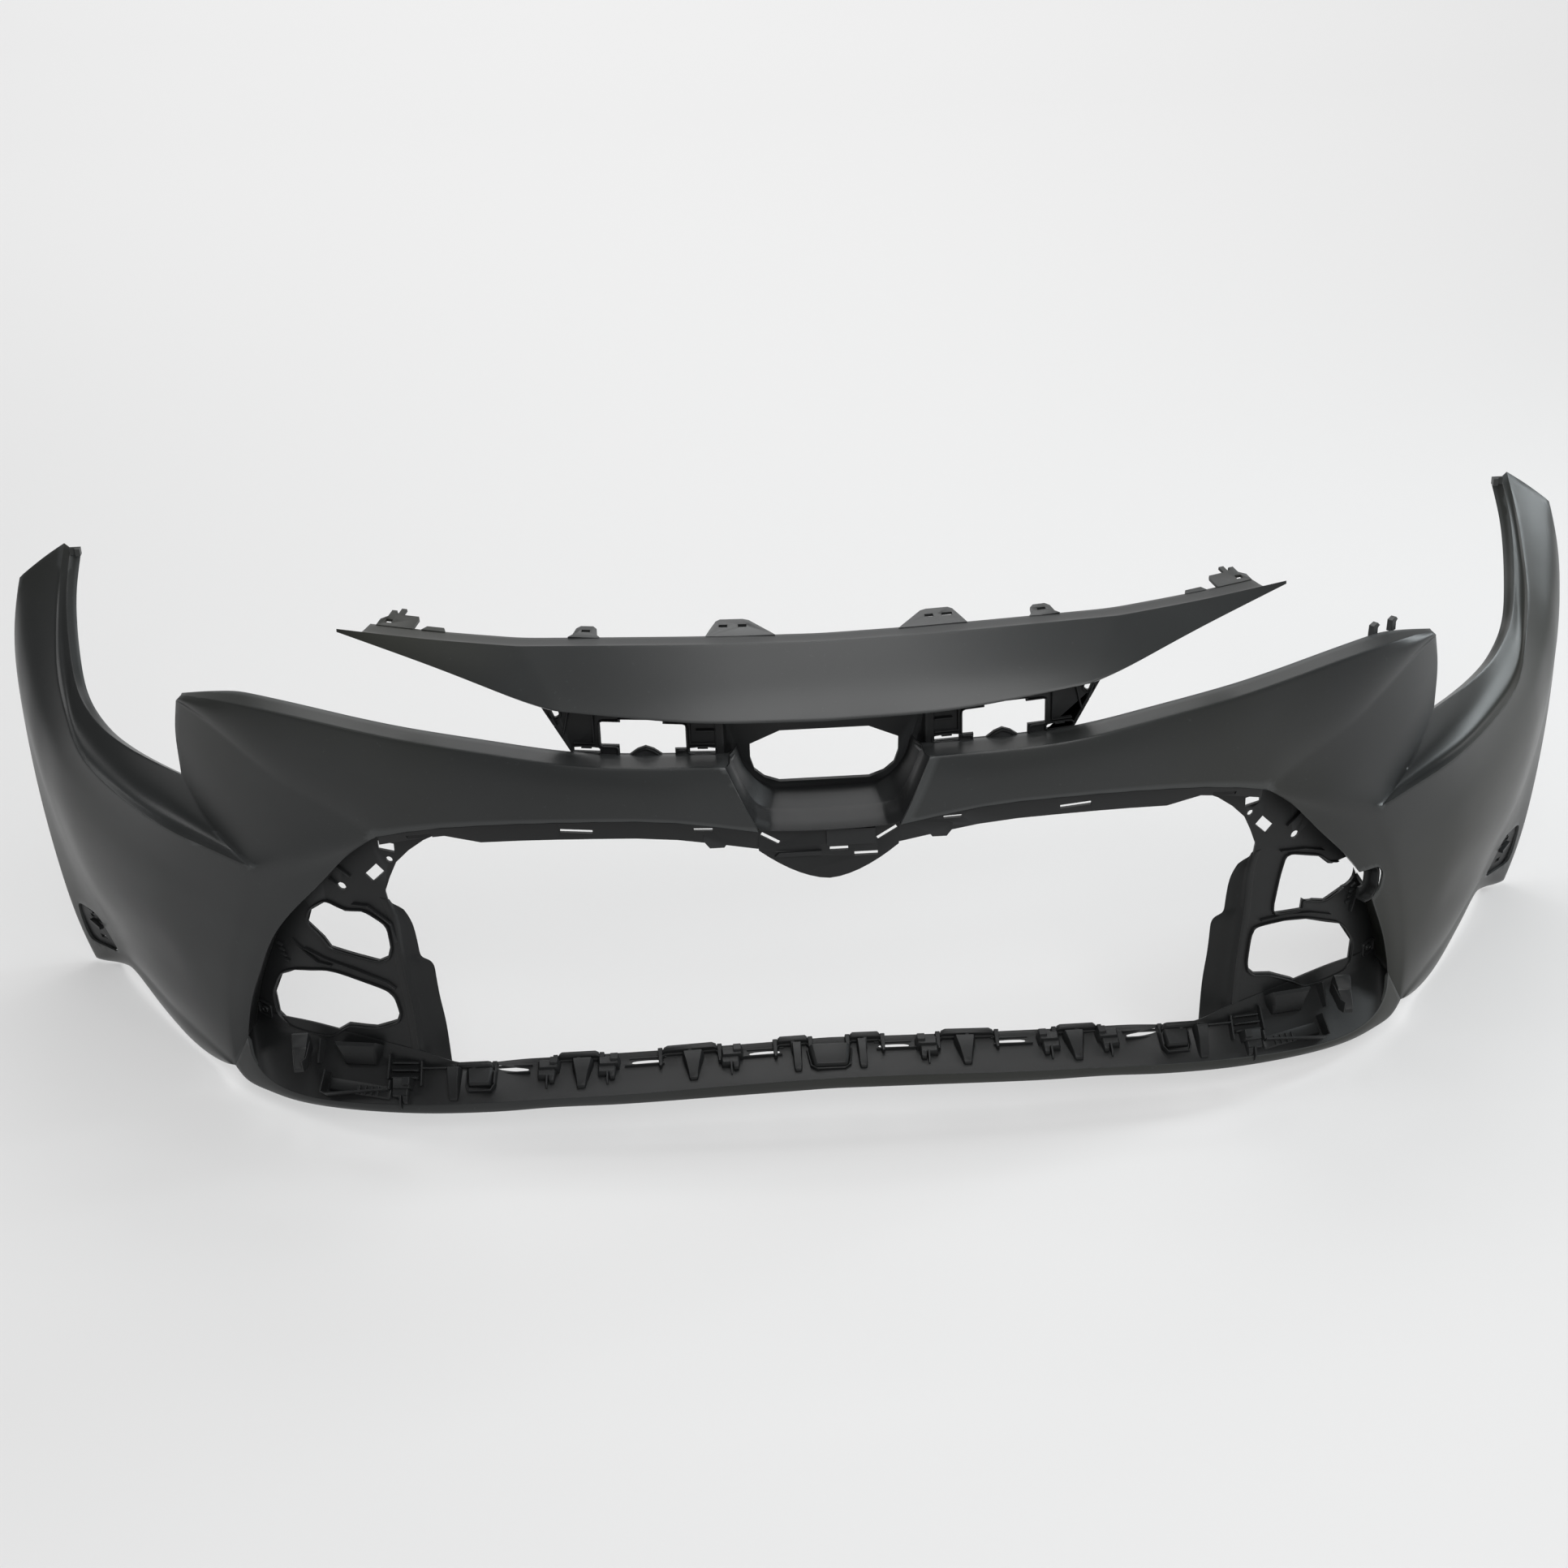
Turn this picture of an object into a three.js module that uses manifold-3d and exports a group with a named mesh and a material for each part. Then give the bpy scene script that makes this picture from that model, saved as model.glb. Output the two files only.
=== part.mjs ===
// Front bumper cover of a compact car, in millimetres: X across the car, Y rearwards, Z up.
// The cover is one thin moulding. Each mesh here is one moulded region of it, parted along
// the creases and ends that the moulding really has.
import * as THREE from "three";
import { mergeVertices } from "three/addons/utils/BufferGeometryUtils.js";
import Module from "manifold-3d";

const wasm = await Module();
wasm.setup();

// Driving dimensions.
const OVERALL_WIDTH = 1780; // across the two wheel arch edges
const DRAWN_WIDTH = 1834; // the same width in the lines drawn below
const WALL = 3; // wall of the moulding
const GAP = 0.3; // between neighbouring regions
const PANEL_DEPTH = 42; // upper grille panel, behind the band's face
const FOG_DEPTH = 45; // fog lamp panel, behind the corner's face
const LOWEST = 63.9; // how far the arch ends hang below the middle of the lip
const MIDDLE = 302.2; // half the depth, from the foremost point back
const PIN = 5; // radius of the locating holes
const TAB_WALL = 2.5; // tabs and the strips that they grow from

const SKIN = new THREE.MeshStandardMaterial({ color: 0x4b4d4c, roughness: 0.48, metalness: 0 });
const INNER = new THREE.MeshStandardMaterial({ color: 0x2c2d2d, roughness: 0.62, metalness: 0 });

const cover = new THREE.Group();

// ---------------------------------------------------------------- curves and surfaces

// The plan of the front: how far back the face lies at a distance x from the middle.
const PLAN = [
  [0, 0], [100, 2], [200, 12], [300, 32], [400, 68], [450, 92], [500, 120],
  [550, 150], [600, 185], [650, 235], [700, 295],
];

function plan(x) {
  const away = Math.abs(x);
  const next = Math.max(1, PLAN.findIndex((p) => p[0] >= away));
  const [x0, y0] = PLAN[next - 1];
  const [x1, y1] = PLAN[next];
  return y0 + ((y1 - y0) * (away - x0)) / (x1 - x0);
}

function smooth(points, steps) {
  const knots = points.map((p) => new THREE.Vector3(...p));
  return new THREE.CatmullRomCurve3(knots, false, "centripetal").getSpacedPoints(steps);
}

function chain(...parts) {
  return parts.reduce((all, part) => all.concat(part.slice(1)));
}

function mirrored(points) {
  return points.map(reflected).reverse();
}

function shifted(points, x, y, z) {
  return points.map((p) => new THREE.Vector3(p.x + x, p.y + y, p.z + z));
}

// Rows between two edges; bow lifts the middle of the surface towards `facing`.
function ruled(first, last, steps, bow = 0, facing = [0, -1, 0]) {
  const lift = new THREE.Vector3(...facing).normalize();
  const rows = [];
  for (let j = 0; j <= steps; j++) {
    const t = j / steps;
    const rise = bow * 4 * t * (1 - t);
    rows.push(first.map((p, i) => p.clone().lerp(last[i], t).addScaledVector(lift, rise)));
  }
  return rows;
}

// A surface that fills four edges: top and bottom run the same way, left and right run down.
function filled(top, bottom, left, right) {
  const columns = top.length - 1;
  const steps = left.length - 1;
  const rows = [];
  for (let j = 0; j <= steps; j++) {
    const v = j / steps;
    const row = [];
    for (let i = 0; i <= columns; i++) {
      const u = i / columns;
      const across = left[j].clone().lerp(right[j], u);
      const down = top[i].clone().lerp(bottom[i], v);
      const upper = top[0].clone().lerp(top[columns], u);
      const lower = bottom[0].clone().lerp(bottom[columns], u);
      row.push(across.add(down).sub(upper.lerp(lower, v)));
    }
    rows.push(row);
  }
  return rows;
}

// ---------------------------------------------------------------- thin shells

const sheets = [];
const edgeNormals = new Map();

function keyOf(p) {
  return [p.x, p.y, p.z].map((c) => Math.round(c * 20)).join(",");
}

function gridNormals(rows) {
  return rows.map((row, j) => row.map((p, i) => {
    const along = row[Math.min(i + 1, row.length - 1)].clone().sub(row[Math.max(i - 1, 0)]);
    const above = rows[Math.max(j - 1, 0)][i];
    const below = rows[Math.min(j + 1, rows.length - 1)][i];
    return along.cross(below.clone().sub(above)).normalize();
  }));
}

// Turns the rows round when needed, so that their normals point to the side that is seen.
function faced(rows, facing) {
  const seen = new THREE.Vector3(...facing);
  const sum = new THREE.Vector3();
  gridNormals(rows).flat().forEach((n) => sum.add(n));
  return sum.dot(seen) < 0 ? rows.map((row) => [...row].reverse()) : rows;
}

// Notes a region's surface. Shells are made once all are known, so that neighbours that
// share an edge share its mitre.
function sheet(name, rows, facing, options = {}) {
  const turned = faced(rows, facing);
  const normals = gridNormals(turned);
  turned.forEach((row, j) => row.forEach((p, i) => {
    const n = normals[j][i];
    noteNormal(p, n);
    if (options.pair) noteNormal(reflected(p), reflected(n));
  }));
  sheets.push({ name, rows: turned, normals, ...options });
}

function noteNormal(p, n) {
  const key = keyOf(p);
  if (!edgeNormals.has(key)) edgeNormals.set(key, []);
  edgeNormals.get(key).push(n);
}

function reflected(p) {
  return new THREE.Vector3(-p.x, p.y, p.z);
}

function mitre(p, own) {
  const shared = edgeNormals.get(keyOf(p)) || [own];
  const sum = new THREE.Vector3();
  shared.forEach((n) => sum.add(n));
  sum.normalize();
  const cosine = Math.max(0.55, sum.dot(own));
  return sum.divideScalar(cosine);
}

// Draws the rim of a grid in, so that a gap is left along each shared edge.
function drawnIn(rows, amount) {
  const last = rows.length - 1;
  const end = rows[0].length - 1;
  return rows.map((row, j) => row.map((p, i) => {
    const q = p.clone();
    const inwards = [];
    if (i === 0) inwards.push(row[1]);
    if (i === end) inwards.push(row[end - 1]);
    if (j === 0) inwards.push(rows[1][i]);
    if (j === last) inwards.push(rows[last - 1][i]);
    inwards.forEach((to) => q.addScaledVector(to.clone().sub(p).normalize(), amount));
    return q;
  }));
}

function offset(rows, normals, distance) {
  return rows.map((row, j) => row.map((p, i) => (
    p.clone().addScaledVector(mitre(p, normals[j][i]), distance)
  )));
}

// A closed shell: the seen face, the hidden face a wall behind it, and the rim. With `grow`
// it is that much larger all round, to cut a neighbour clear of it.
function shell(rows, normals, wall, grow = 0) {
  const outer = drawnIn(offset(rows, normals, grow), GAP / 2 - grow);
  const inner = drawnIn(offset(rows, normals, -wall - grow), GAP * 1.5 - grow);
  const columns = rows[0].length;
  const count = rows.length * columns;
  const index = [];
  const at = (j, i, hidden) => (hidden ? count : 0) + j * columns + i;
  const quad = (a, b, c, d) => index.push(a, b, c, a, c, d);
  for (let j = 0; j < rows.length - 1; j++) {
    for (let i = 0; i < columns - 1; i++) {
      quad(at(j, i), at(j, i + 1), at(j + 1, i + 1), at(j + 1, i));
      quad(at(j, i, true), at(j + 1, i, true), at(j + 1, i + 1, true), at(j, i + 1, true));
    }
  }
  const end = columns - 1;
  const last = rows.length - 1;
  for (let i = 0; i < end; i++) {
    quad(at(0, i), at(0, i, true), at(0, i + 1, true), at(0, i + 1));
    quad(at(last, i), at(last, i + 1), at(last, i + 1, true), at(last, i, true));
  }
  for (let j = 0; j < last; j++) {
    quad(at(j, 0), at(j + 1, 0), at(j + 1, 0, true), at(j, 0, true));
    quad(at(j, end), at(j, end, true), at(j + 1, end, true), at(j + 1, end));
  }
  const geometry = new THREE.BufferGeometry();
  const all = [...outer.flat(), ...inner.flat()];
  const numbers = all.flatMap((p) => [p.x, p.y, p.z]);
  geometry.setAttribute("position", new THREE.Float32BufferAttribute(numbers, 3));
  geometry.setIndex(index);
  return geometry;
}

// ---------------------------------------------------------------- solids

function solid(geometry) {
  const bare = geometry.clone();
  bare.deleteAttribute("normal");
  bare.deleteAttribute("uv");
  const merged = mergeVertices(bare, 1e-3);
  return new wasm.Manifold(new wasm.Mesh({
    numProp: 3,
    vertProperties: merged.attributes.position.array,
    triVerts: new Uint32Array(merged.index.array),
  }));
}

function geometryOf(manifold) {
  const mesh = manifold.getMesh();
  const geometry = new THREE.BufferGeometry();
  geometry.setAttribute("position", new THREE.BufferAttribute(new Float32Array(mesh.vertProperties), 3));
  geometry.setIndex(new THREE.BufferAttribute(new Uint32Array(mesh.triVerts), 1));
  return geometry;
}

function add(name, geometry, material) {
  const mesh = new THREE.Mesh(geometry, material);
  mesh.name = name;
  cover.add(mesh);
}

// The same solid on both sides of the car.
function addPair(name, geometry, material) {
  add(`${name}_right`, geometry, material);
  const left = new THREE.Mesh(geometry, material);
  left.name = `${name}_left`;
  left.scale.x = -1;
  cover.add(left);
}

// A prism through the whole depth of the front, from an outline in x and z.
function prism(shape, from = -60, depth = 500) {
  const geometry = new THREE.ExtrudeGeometry(shape, { depth, bevelEnabled: false, curveSegments: 5 });
  geometry.rotateX(Math.PI / 2);
  geometry.translate(0, from + depth, 0);
  return solid(geometry);
}

function outline(points) {
  return new THREE.Shape(points.map(([x, z]) => new THREE.Vector2(x, z)));
}

function oblong(x, y, width, height) {
  const w = width / 2;
  const h = height / 2;
  return outline([[x - w, y - h], [x + w, y - h], [x + w, y + h], [x - w, y + h]]);
}

// A flat plate in x and y with its openings cut through, from z = 0 to its thickness.
function plate(points, openings, thickness) {
  const bare = new THREE.ExtrudeGeometry(outline(points), { depth: thickness, bevelEnabled: false });
  return openings.reduce((left, shape) => {
    const cutter = new THREE.ExtrudeGeometry(shape, { depth: thickness + 2, bevelEnabled: false });
    return left.subtract(solid(cutter.translate(0, 0, -1)));
  }, solid(bare));
}

function disc(x, z, radius) {
  const shape = new THREE.Shape();
  shape.absarc(x, z, radius, 0, Math.PI * 2);
  return shape;
}

// A slot with its long side turned by `turn` degrees from level.
function slot(x, z, length, height, turn = 0) {
  const c = Math.cos(THREE.MathUtils.degToRad(turn));
  const s = Math.sin(THREE.MathUtils.degToRad(turn));
  const corners = [[-1, -1], [1, -1], [1, 1], [-1, 1]];
  return outline(corners.map(([i, j]) => {
    const along = (i * length) / 2;
    const up = (j * height) / 2;
    return [x + along * c - up * s, z + along * s + up * c];
  }));
}

// The body itself, without any sealed pocket left where joined pieces meet.
function unpocketed(manifold) {
  const bodies = manifold.decompose();
  return bodies.reduce((largest, body) => (body.volume() > largest.volume() ? body : largest));
}

function pierced(manifold, shapes, from, depth) {
  return shapes.reduce((left, shape) => left.subtract(prism(shape, from, depth)), manifold);
}

// A wall that follows the plan at a set depth behind the face.
function followingWall(x0, x1, z0, z1, depth, columns, wall = WALL) {
  const row = (z) => Array.from({ length: columns + 1 }, (_, i) => {
    const x = x0 + ((x1 - x0) * i) / columns;
    return new THREE.Vector3(x, plan(x) + depth, z);
  });
  const rows = faced([row(z1), row(z0)], [0, -1, 0]);
  return solid(shell(rows, gridNormals(rows), wall));
}

// ---------------------------------------------------------------- key lines, right half

const NOSE_STEPS = 8;
const TIP_STEPS = 5;
const BAND_STEPS = 10;
const HORN_STEPS = 7;
const CHEEK_STEPS = 5;
const CORNER_STEPS = 9;
const WING_STEPS = 13;
const LEDGE_STEPS = 22;

const noseTop = smooth([[0, 62, 527], [110, 66, 528], [210, 78, 527], [297, 94, 524]], NOSE_STEPS);
const noseBottom = smooth([[0, 12, 464], [120, 15, 467], [200, 26, 473], [260, 37, 478]], NOSE_STEPS);
const tipTop = smooth([[297, 94, 524], [390, 128, 522], [480, 164, 522]], TIP_STEPS);
const tipBottom = smooth([[260, 37, 478], [287, 46, 484], [380, 103, 502], [480, 163, 519]], TIP_STEPS);

const bandCrease = smooth([
  [100, 6, 423], [239, 24, 423], [340, 50, 431], [420, 80, 435], [470, 107, 436],
], BAND_STEPS);
const bandBottom = smooth([
  [70, 2, 352], [160, 8, 365], [250, 22, 363], [324, 41, 355], [400, 68, 340], [456, 95, 320],
], BAND_STEPS);
const hornCrease = smooth([
  [470, 107, 436], [541, 148, 438], [590, 181, 436], [630, 218, 428], [662, 252, 418],
], HORN_STEPS);
const hornDiagonal = smooth([
  [456, 95, 320], [501, 121, 341], [555, 153, 360], [600, 186, 386], [640, 223, 406], [670, 260, 408],
], HORN_STEPS);
const lampEdge = smooth([[670, 260, 408], [677, 267, 370], [678, 269, 317]], CHEEK_STEPS);
const lampCrease = smooth([[598, 174, 249], [624, 207, 255], [655, 242, 278], [678, 269, 317]], HORN_STEPS);
const cheekLine = smooth([[456, 95, 320], [527, 130, 286], [598, 174, 249]], CHEEK_STEPS);

const recessEdge = smooth([
  [456, 95, 320], [490, 120, 288], [523, 141, 246], [562, 164, 200], [590, 184, 158],
  [612, 203, 105], [630, 220, 55], [640, 230, 8],
], CORNER_STEPS);
const cornerLine = smooth([
  [598, 174, 249], [625, 197, 190], [645, 218, 125], [658, 234, 65], [664, 242, 10], [662, 243, -38],
], CORNER_STEPS);
const cornerFoot = smooth([[640, 230, 8], [650, 236, -18], [662, 243, -38]], CHEEK_STEPS);

const wingCrease = smooth([
  [598, 174, 249], [645, 205, 258], [695, 242, 265], [757, 310, 274], [813, 390, 288],
  [836, 450, 314], [847, 485, 345], [849, 515, 378], [845, 545, 425], [836, 572, 470],
], WING_STEPS);
const wingEnd = smooth([[836, 572, 470], [868, 591, 446], [902, 604.2, 418]], 2);
const archSide = smooth([
  [902, 604.2, 418], [913, 594, 375], [918, 583, 330],
  [914, 560, 255], [907, 544, 160], [896, 536, 60], [886, 536, -10], [874, 540, -62],
], CORNER_STEPS - 2);
const archEdge = chain(wingEnd, archSide);
const wingFoot = smooth([
  [662, 243, -38], [700, 290, -29], [738, 340, -23], [787, 418, -19], [832, 490, -24], [874, 540, -62],
], WING_STEPS);
const joint = smooth([
  [678, 269, 317], [722, 320, 313], [760, 368, 311], [790, 408, 315], [819, 455, 334],
  [831, 495, 367], [835, 540, 424], [828, 566, 466],
], WING_STEPS);

const lipCrease = smooth([
  [640, 230, 8], [636, 217, -16], [618, 197, -29], [588, 171, -31], [538, 138, -24], [420, 97, -9],
  [300, 82, 0], [215, 75, 5], [76, 71, 12], [0, 70, 14],
], LEDGE_STEPS);
const lipFoot = smooth([
  [662, 243, -38], [650, 228, -48], [622, 201, -46], [590, 174, -43], [536, 139, -34], [443, 103, -23],
  [357, 89, -17], [300, 84, -12], [228, 78, -9], [100, 73, -3], [0, 72, 0],
], LEDGE_STEPS);

// ---------------------------------------------------------------- nose

function makeNose() {
  const top = chain(mirrored(noseTop), noseTop);
  const bottom = chain(mirrored(noseBottom), noseBottom);
  sheet("nose_panel", ruled(top, bottom, 3, 3, [0, -1, 0.9]), [0, -1, 0.8], { material: SKIN });
  sheet("nose_tip", ruled(tipTop, tipBottom, 2), [0.3, -1, 0.8], {
    material: SKIN, pair: true, clear: ["nose_flange"],
  });
}

// The level strip behind the nose's top crease, which the fasteners' tabs grow from.
function makeNoseFlange() {
  const half = chain(noseTop, tipTop.slice(0, TIP_STEPS));
  const front = chain(mirrored(half), half);
  const width = 24;
  const rear = front.map((p) => new THREE.Vector3(p.x * 0.985, p.y + width, p.z - 2));
  sheet("nose_flange", [rear, front], [0, 0, 1], { material: SKIN, wall: TAB_WALL });
}

// The return under the nose's lower edge, back to the upper grille panel.
function makeNoseUnderside() {
  const bottom = chain(mirrored(noseBottom), noseBottom);
  const back = bottom.map((p) => new THREE.Vector3(p.x, plan(p.x) + PANEL_DEPTH - GAP, p.z + 3));
  sheet("nose_underside", [bottom, back], [0, 0, -1], { material: INNER });
}

// A tab that lies behind the nose flange. Its outline is in x along the car's width and y rearwards.
function noseTab(name, x, points, openings = []) {
  const slope = 0.22;
  const geometry = geometryOf(plate(points, openings, TAB_WALL));
  geometry.rotateX(slope);
  const half = chain(noseTop, tipTop);
  const edge = half.reduce((best, p) => (
    Math.abs(p.x * 0.985 - Math.abs(x)) < Math.abs(best.x * 0.985 - Math.abs(x)) ? p : best
  ));
  const next = half[Math.min(half.indexOf(edge) + 1, half.length - 1)];
  const lean = next === edge ? 0.38 : (next.y - edge.y) / (next.x - edge.x);
  const y = edge.y + lean * (Math.abs(x) - edge.x * 0.985) + 23;
  geometry.rotateZ(Math.sign(x) * Math.atan(lean));
  geometry.translate(x, y, edge.z - 4);
  add(name, geometryOf(clearOf(solid(geometry), ["nose_flange"])), SKIN);
}

function makeNoseTabs() {
  const double = [[-34, 0], [34, 0], [30, 10], [24, 24], [20, 27], [-2, 27], [-8, 25], [-30, 4]];
  const turned = double.map(([x, y]) => [-x, y]).reverse();
  noseTab("double_tab_right", 112, double, [oblong(-1, 16, 9, 5), oblong(17, 16, 11, 5)]);
  noseTab("double_tab_left", -78, turned, [oblong(-17, 16, 9, 5), oblong(2, 16, 9, 5)]);
  const single = [[-16, 0], [16, 0], [12, 4], [10, 14], [6, 18], [-6, 18], [-10, 14], [-12, 4]];
  noseTab("single_tab_right", 224, single, [oblong(0, 10, 9, 4)]);
  noseTab("single_tab_left", -231, single, [oblong(0, 10, 9, 4)]);
  const bump = [[-13, 0], [13, 0], [9, 6], [-9, 6]];
  noseTab("locating_bump_right", 385, bump);
  noseTab("locating_bump_left", -382, bump);
  const bracket = [
    [-20, 0], [20, 0], [20, 10], [14, 16], [14, 26], [9, 26], [9, 22], [5, 22], [5, 30], [0, 30],
    [0, 20], [-18, 20], [-20, 16],
  ];
  noseTab("lamp_bracket_right", 428, bracket, [oblong(10, 8, 8, 6)]);
  noseTab("lamp_bracket_left", -422, bracket.map(([x, y]) => [-x, y]).reverse(), [oblong(-10, 8, 8, 6)]);
}

// ---------------------------------------------------------------- upper grille panel and emblem seat

// One half of the wall between nose and band, with its grille window and clip slots.
function makeUpperPanel() {
  const wall = followingWall(99.5, 292, 405, 490, PANEL_DEPTH, 8);
  const shape = outline([[100, 415], [248, 417], [286, 486], [262, 484], [200, 478], [100, 472]]);
  const window = outline([
    [136, 425], [147, 425], [147, 419], [160, 419], [168, 425], [176, 428], [184, 425], [192, 419],
    [202, 419], [202, 429], [220, 429], [220, 455], [200, 455], [200, 458], [158, 457], [158, 453],
    [136, 452],
  ]);
  const openings = [
    window, disc(264, 462, PIN), slot(268, 448, 6, 4, 30), slot(120, 424, 26, 6), slot(234, 424, 26, 6),
  ];
  const half = clearOf(wall.intersect(prism(shape)), ["emblem_cheek", "band"]);
  return pierced(half, openings);
}

function addUpperPanels() {
  addPair("upper_grille_panel", geometryOf(makeUpperPanel()), INNER);
}

// The seat of the emblem: a leaning plate with an eight-sided opening.
const EMBLEM_LEAN = 0.29;
function makeEmblemSeat() {
  const points = [
    [-98, 0], [-98, -48], [-90, -74], [-71, -113], [71, -113], [90, -74], [98, -48], [98, 0],
  ];
  const opening = outline([
    [-44, -32], [44, -32], [74, -48], [74, -68], [70, -84], [60, -95], [45, -102], [-45, -102],
    [-60, -95], [-70, -84], [-74, -68], [-74, -48],
  ]);
  const geometry = geometryOf(plate(points, [opening], WALL));
  geometry.rotateX(Math.PI / 2 + EMBLEM_LEAN);
  geometry.translate(0, 45.2, 470);
  const bare = solid(geometry);
  add("emblem_seat", geometryOf(clearOf(bare, ["nose_underside", "emblem_cheek", "emblem_floor"])), INNER);
}

// The hollow wall between the end of the band and the emblem seat.
function makeEmblemCheek() {
  const front = smooth([[100, 6, 423], [86, 4, 390], [73, 3, 357], [58, 10, 349]], 5);
  const rear = smooth([[86, 54.9, 424], [80, 63.1, 398], [67, 69.5, 377], [50, 73.5, 364]], 5);
  sheet("emblem_cheek", ruled(front, rear, 3, -3, [-1, -0.6, 0]), [-1, -0.3, 0.6], {
    material: INNER, pair: true, clear: ["band"],
  });
}

function makeEmblemFloor() {
  const rear = smooth([[-49.5, 73.5, 364], [0, 73.8, 363], [49.5, 73.5, 364]], 6);
  const front = smooth([[-57.5, 10, 349], [0, 8, 348], [57.5, 10, 349]], 6);
  sheet("emblem_floor", ruled(rear, front, 2), [0, -0.3, 1], {
    material: INNER, clear: ["emblem_cheek", "band"],
  });
}

const CHIN_REACH = 69.5; // half the width of the chin
const CHIN_FOOT = 286; // height of its lowest point
const CHIN_DROP = 35; // from its outer corners down to that point

// The pointed plate below the emblem, with its clip slots and a raised pad.
function makeChin() {
  const bottom = [];
  for (let i = 0; i <= 14; i++) {
    const x = CHIN_REACH - (2 * CHIN_REACH * i) / 14;
    bottom.push([x, CHIN_FOOT + CHIN_DROP * Math.pow(Math.abs(x) / CHIN_REACH, 1.7)]);
  }
  const shape = outline([[-CHIN_REACH, 352], [CHIN_REACH, 352], ...bottom]);
  const plate = clearOf(prism(shape, 22, WALL), ["emblem_floor", "emblem_cheek", "band"]);
  const slots = [
    slot(58, 334, 24, 5, 32), slot(-58, 334, 22, 5, -32), slot(10, 319, 19, 5), slot(37, 312, 24, 5),
  ];
  const pad = prism(outline([[-2, 342], [46, 342], [46, 325], [-2, 325]]), 18, 5);
  const sill = prism(outline([[-50, 318], [-8, 318], [-8, 314], [-54, 314]]), 19, 4);
  return pierced(plate.add(pad).add(sill), slots, 0, 60);
}

// ---------------------------------------------------------------- band

const TOP_REACH = 26; // top of the band beside the head lamps, rearwards
const SHELF_OVERHANG = 10.2; // rear corner of the band's top, inwards over the emblem cheek

function makeBand() {
  const crease = chain(bandCrease, hornCrease);
  const foot = chain(bandBottom, hornDiagonal);
  const back = crease.map((p, i) => {
    const reach = p.x < 262 ? plan(p.x) + PANEL_DEPTH - GAP - p.y : TOP_REACH;
    const taper = i > crease.length - 3 ? 0.45 : 1;
    const slide = i === 0 ? SHELF_OVERHANG : 0;
    return new THREE.Vector3(p.x - slide, p.y + reach * taper, p.z + (p.x < 262 ? -3 : 3));
  });
  const face = ruled(crease, foot, 4, 5, [0.1, -1, 0.2]);
  sheet("band", [back, ...face], [0.4, -1, 0.4], { material: SKIN, pair: true });
}

// The stepped strip under the band that the lower grille clips to.
function makeBandFlange() {
  const step = shifted(bandBottom, 0, 18, -4);
  const foot = bandBottom.map((p) => new THREE.Vector3(p.x, p.y + 24, p.z - (p.x < 350 ? 31 : 21)));
  const rows = faced([bandBottom.map((p) => p.clone()), step, foot], [0, -1, -1]);
  const bare = solid(shell(rows, gridNormals(rows), WALL));
  const slots = [slot(124, 346, 19, 4), slot(250, 342, 33, 5), slot(412, 318, 28, 5, -14)];
  const shape = outline([[98, 332], [104, 324], [118, 324], [124, 332], [124, 338], [98, 338]]);
  const tongue = prism(shape, 27, WALL);
  return clearOf(pierced(bare.add(tongue), slots, 10, 120), ["recess_wall", "emblem_cheek"]);
}

// ---------------------------------------------------------------- corner and wing

function makeCorner() {
  sheet("horn_cheek", filled(hornDiagonal, lampCrease, cheekLine, lampEdge), [1, -1, 0], {
    material: SKIN, pair: true,
  });
  sheet("corner_skin", filled(cheekLine, cornerFoot, recessEdge, cornerLine), [1, -1, 0], {
    material: SKIN, pair: true, clear: ["horn_cheek"],
  });
}

function makeWing() {
  sheet("wing_skin", filled(wingCrease, wingFoot, cornerLine, archEdge), [1, -1, 0], {
    material: SKIN, pair: true, cut: archPocketHole,
  });
  sheet("wing_shelf", filled(joint, wingCrease, [...lampCrease].reverse(), tailOfShelf()), [0.3, -1, 1], {
    material: SKIN, pair: true, clear: ["horn_cheek", "wing_skin"],
  });
  const inner = joint.map((p) => new THREE.Vector3(p.x - 10, p.y + 4, p.z - 7));
  sheet("fender_flange", [inner, joint], [-0.3, -0.2, 1], { material: SKIN, pair: true, wall: TAB_WALL });
}

function tailOfShelf() {
  return ruled([joint[WING_STEPS]], [wingCrease[WING_STEPS]], HORN_STEPS).flat();
}

// A box at the clip pocket near the foot of the wheel arch edge: x runs along the wing's
// surface, z up, and `inwards` is how far behind that surface its middle lies.
function archBox(width, depth, height, x = 0, z = 0, inwards = 0) {
  const box = new THREE.BoxGeometry(width, depth, height);
  box.translate(x, inwards, z);
  box.rotateZ(0.95);
  box.translate(862, 505, 0);
  return solid(box);
}

function archPocketHole() {
  return archBox(60, 34, 62);
}

// The pocket's floor behind the wing, with its clip slots and the ribs between them.
function makeArchPocket() {
  const { rows, normals } = sheets.find((s) => s.name === "wing_skin");
  const behind = offset(rows, normals, -WALL - GAP);
  let pocket = solid(shell(behind, gridNormals(behind), WALL)).intersect(archBox(70, 40, 70));
  [-24, -8, 8, 24].forEach((z, i) => {
    pocket = pocket.add(archBox(26, 5, 3, i % 2 ? 8 : -6, z, 2.8));
  });
  [-16, 0, 16].forEach((z) => {
    pocket = pocket.subtract(archBox(12, 40, 6, 0, z));
  });
  return geometryOf(unpocketed(pocket));
}

// The turned-under lower edge between the lip and the wheel arch.
function makeFootReturn() {
  const under = smooth([
    [662, 245, -42], [696, 292, -56], [728, 336, -58], [776, 412, -52], [814, 480, -47], [842, 530, -64],
  ], WING_STEPS);
  const rows = ruled(wingFoot, under, 2, 3, [1, -1, 0]);
  sheet("foot_return", rows, [1, -1, -1], { material: INNER, pair: true });
}

// ---------------------------------------------------------------- lip and ledge

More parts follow.
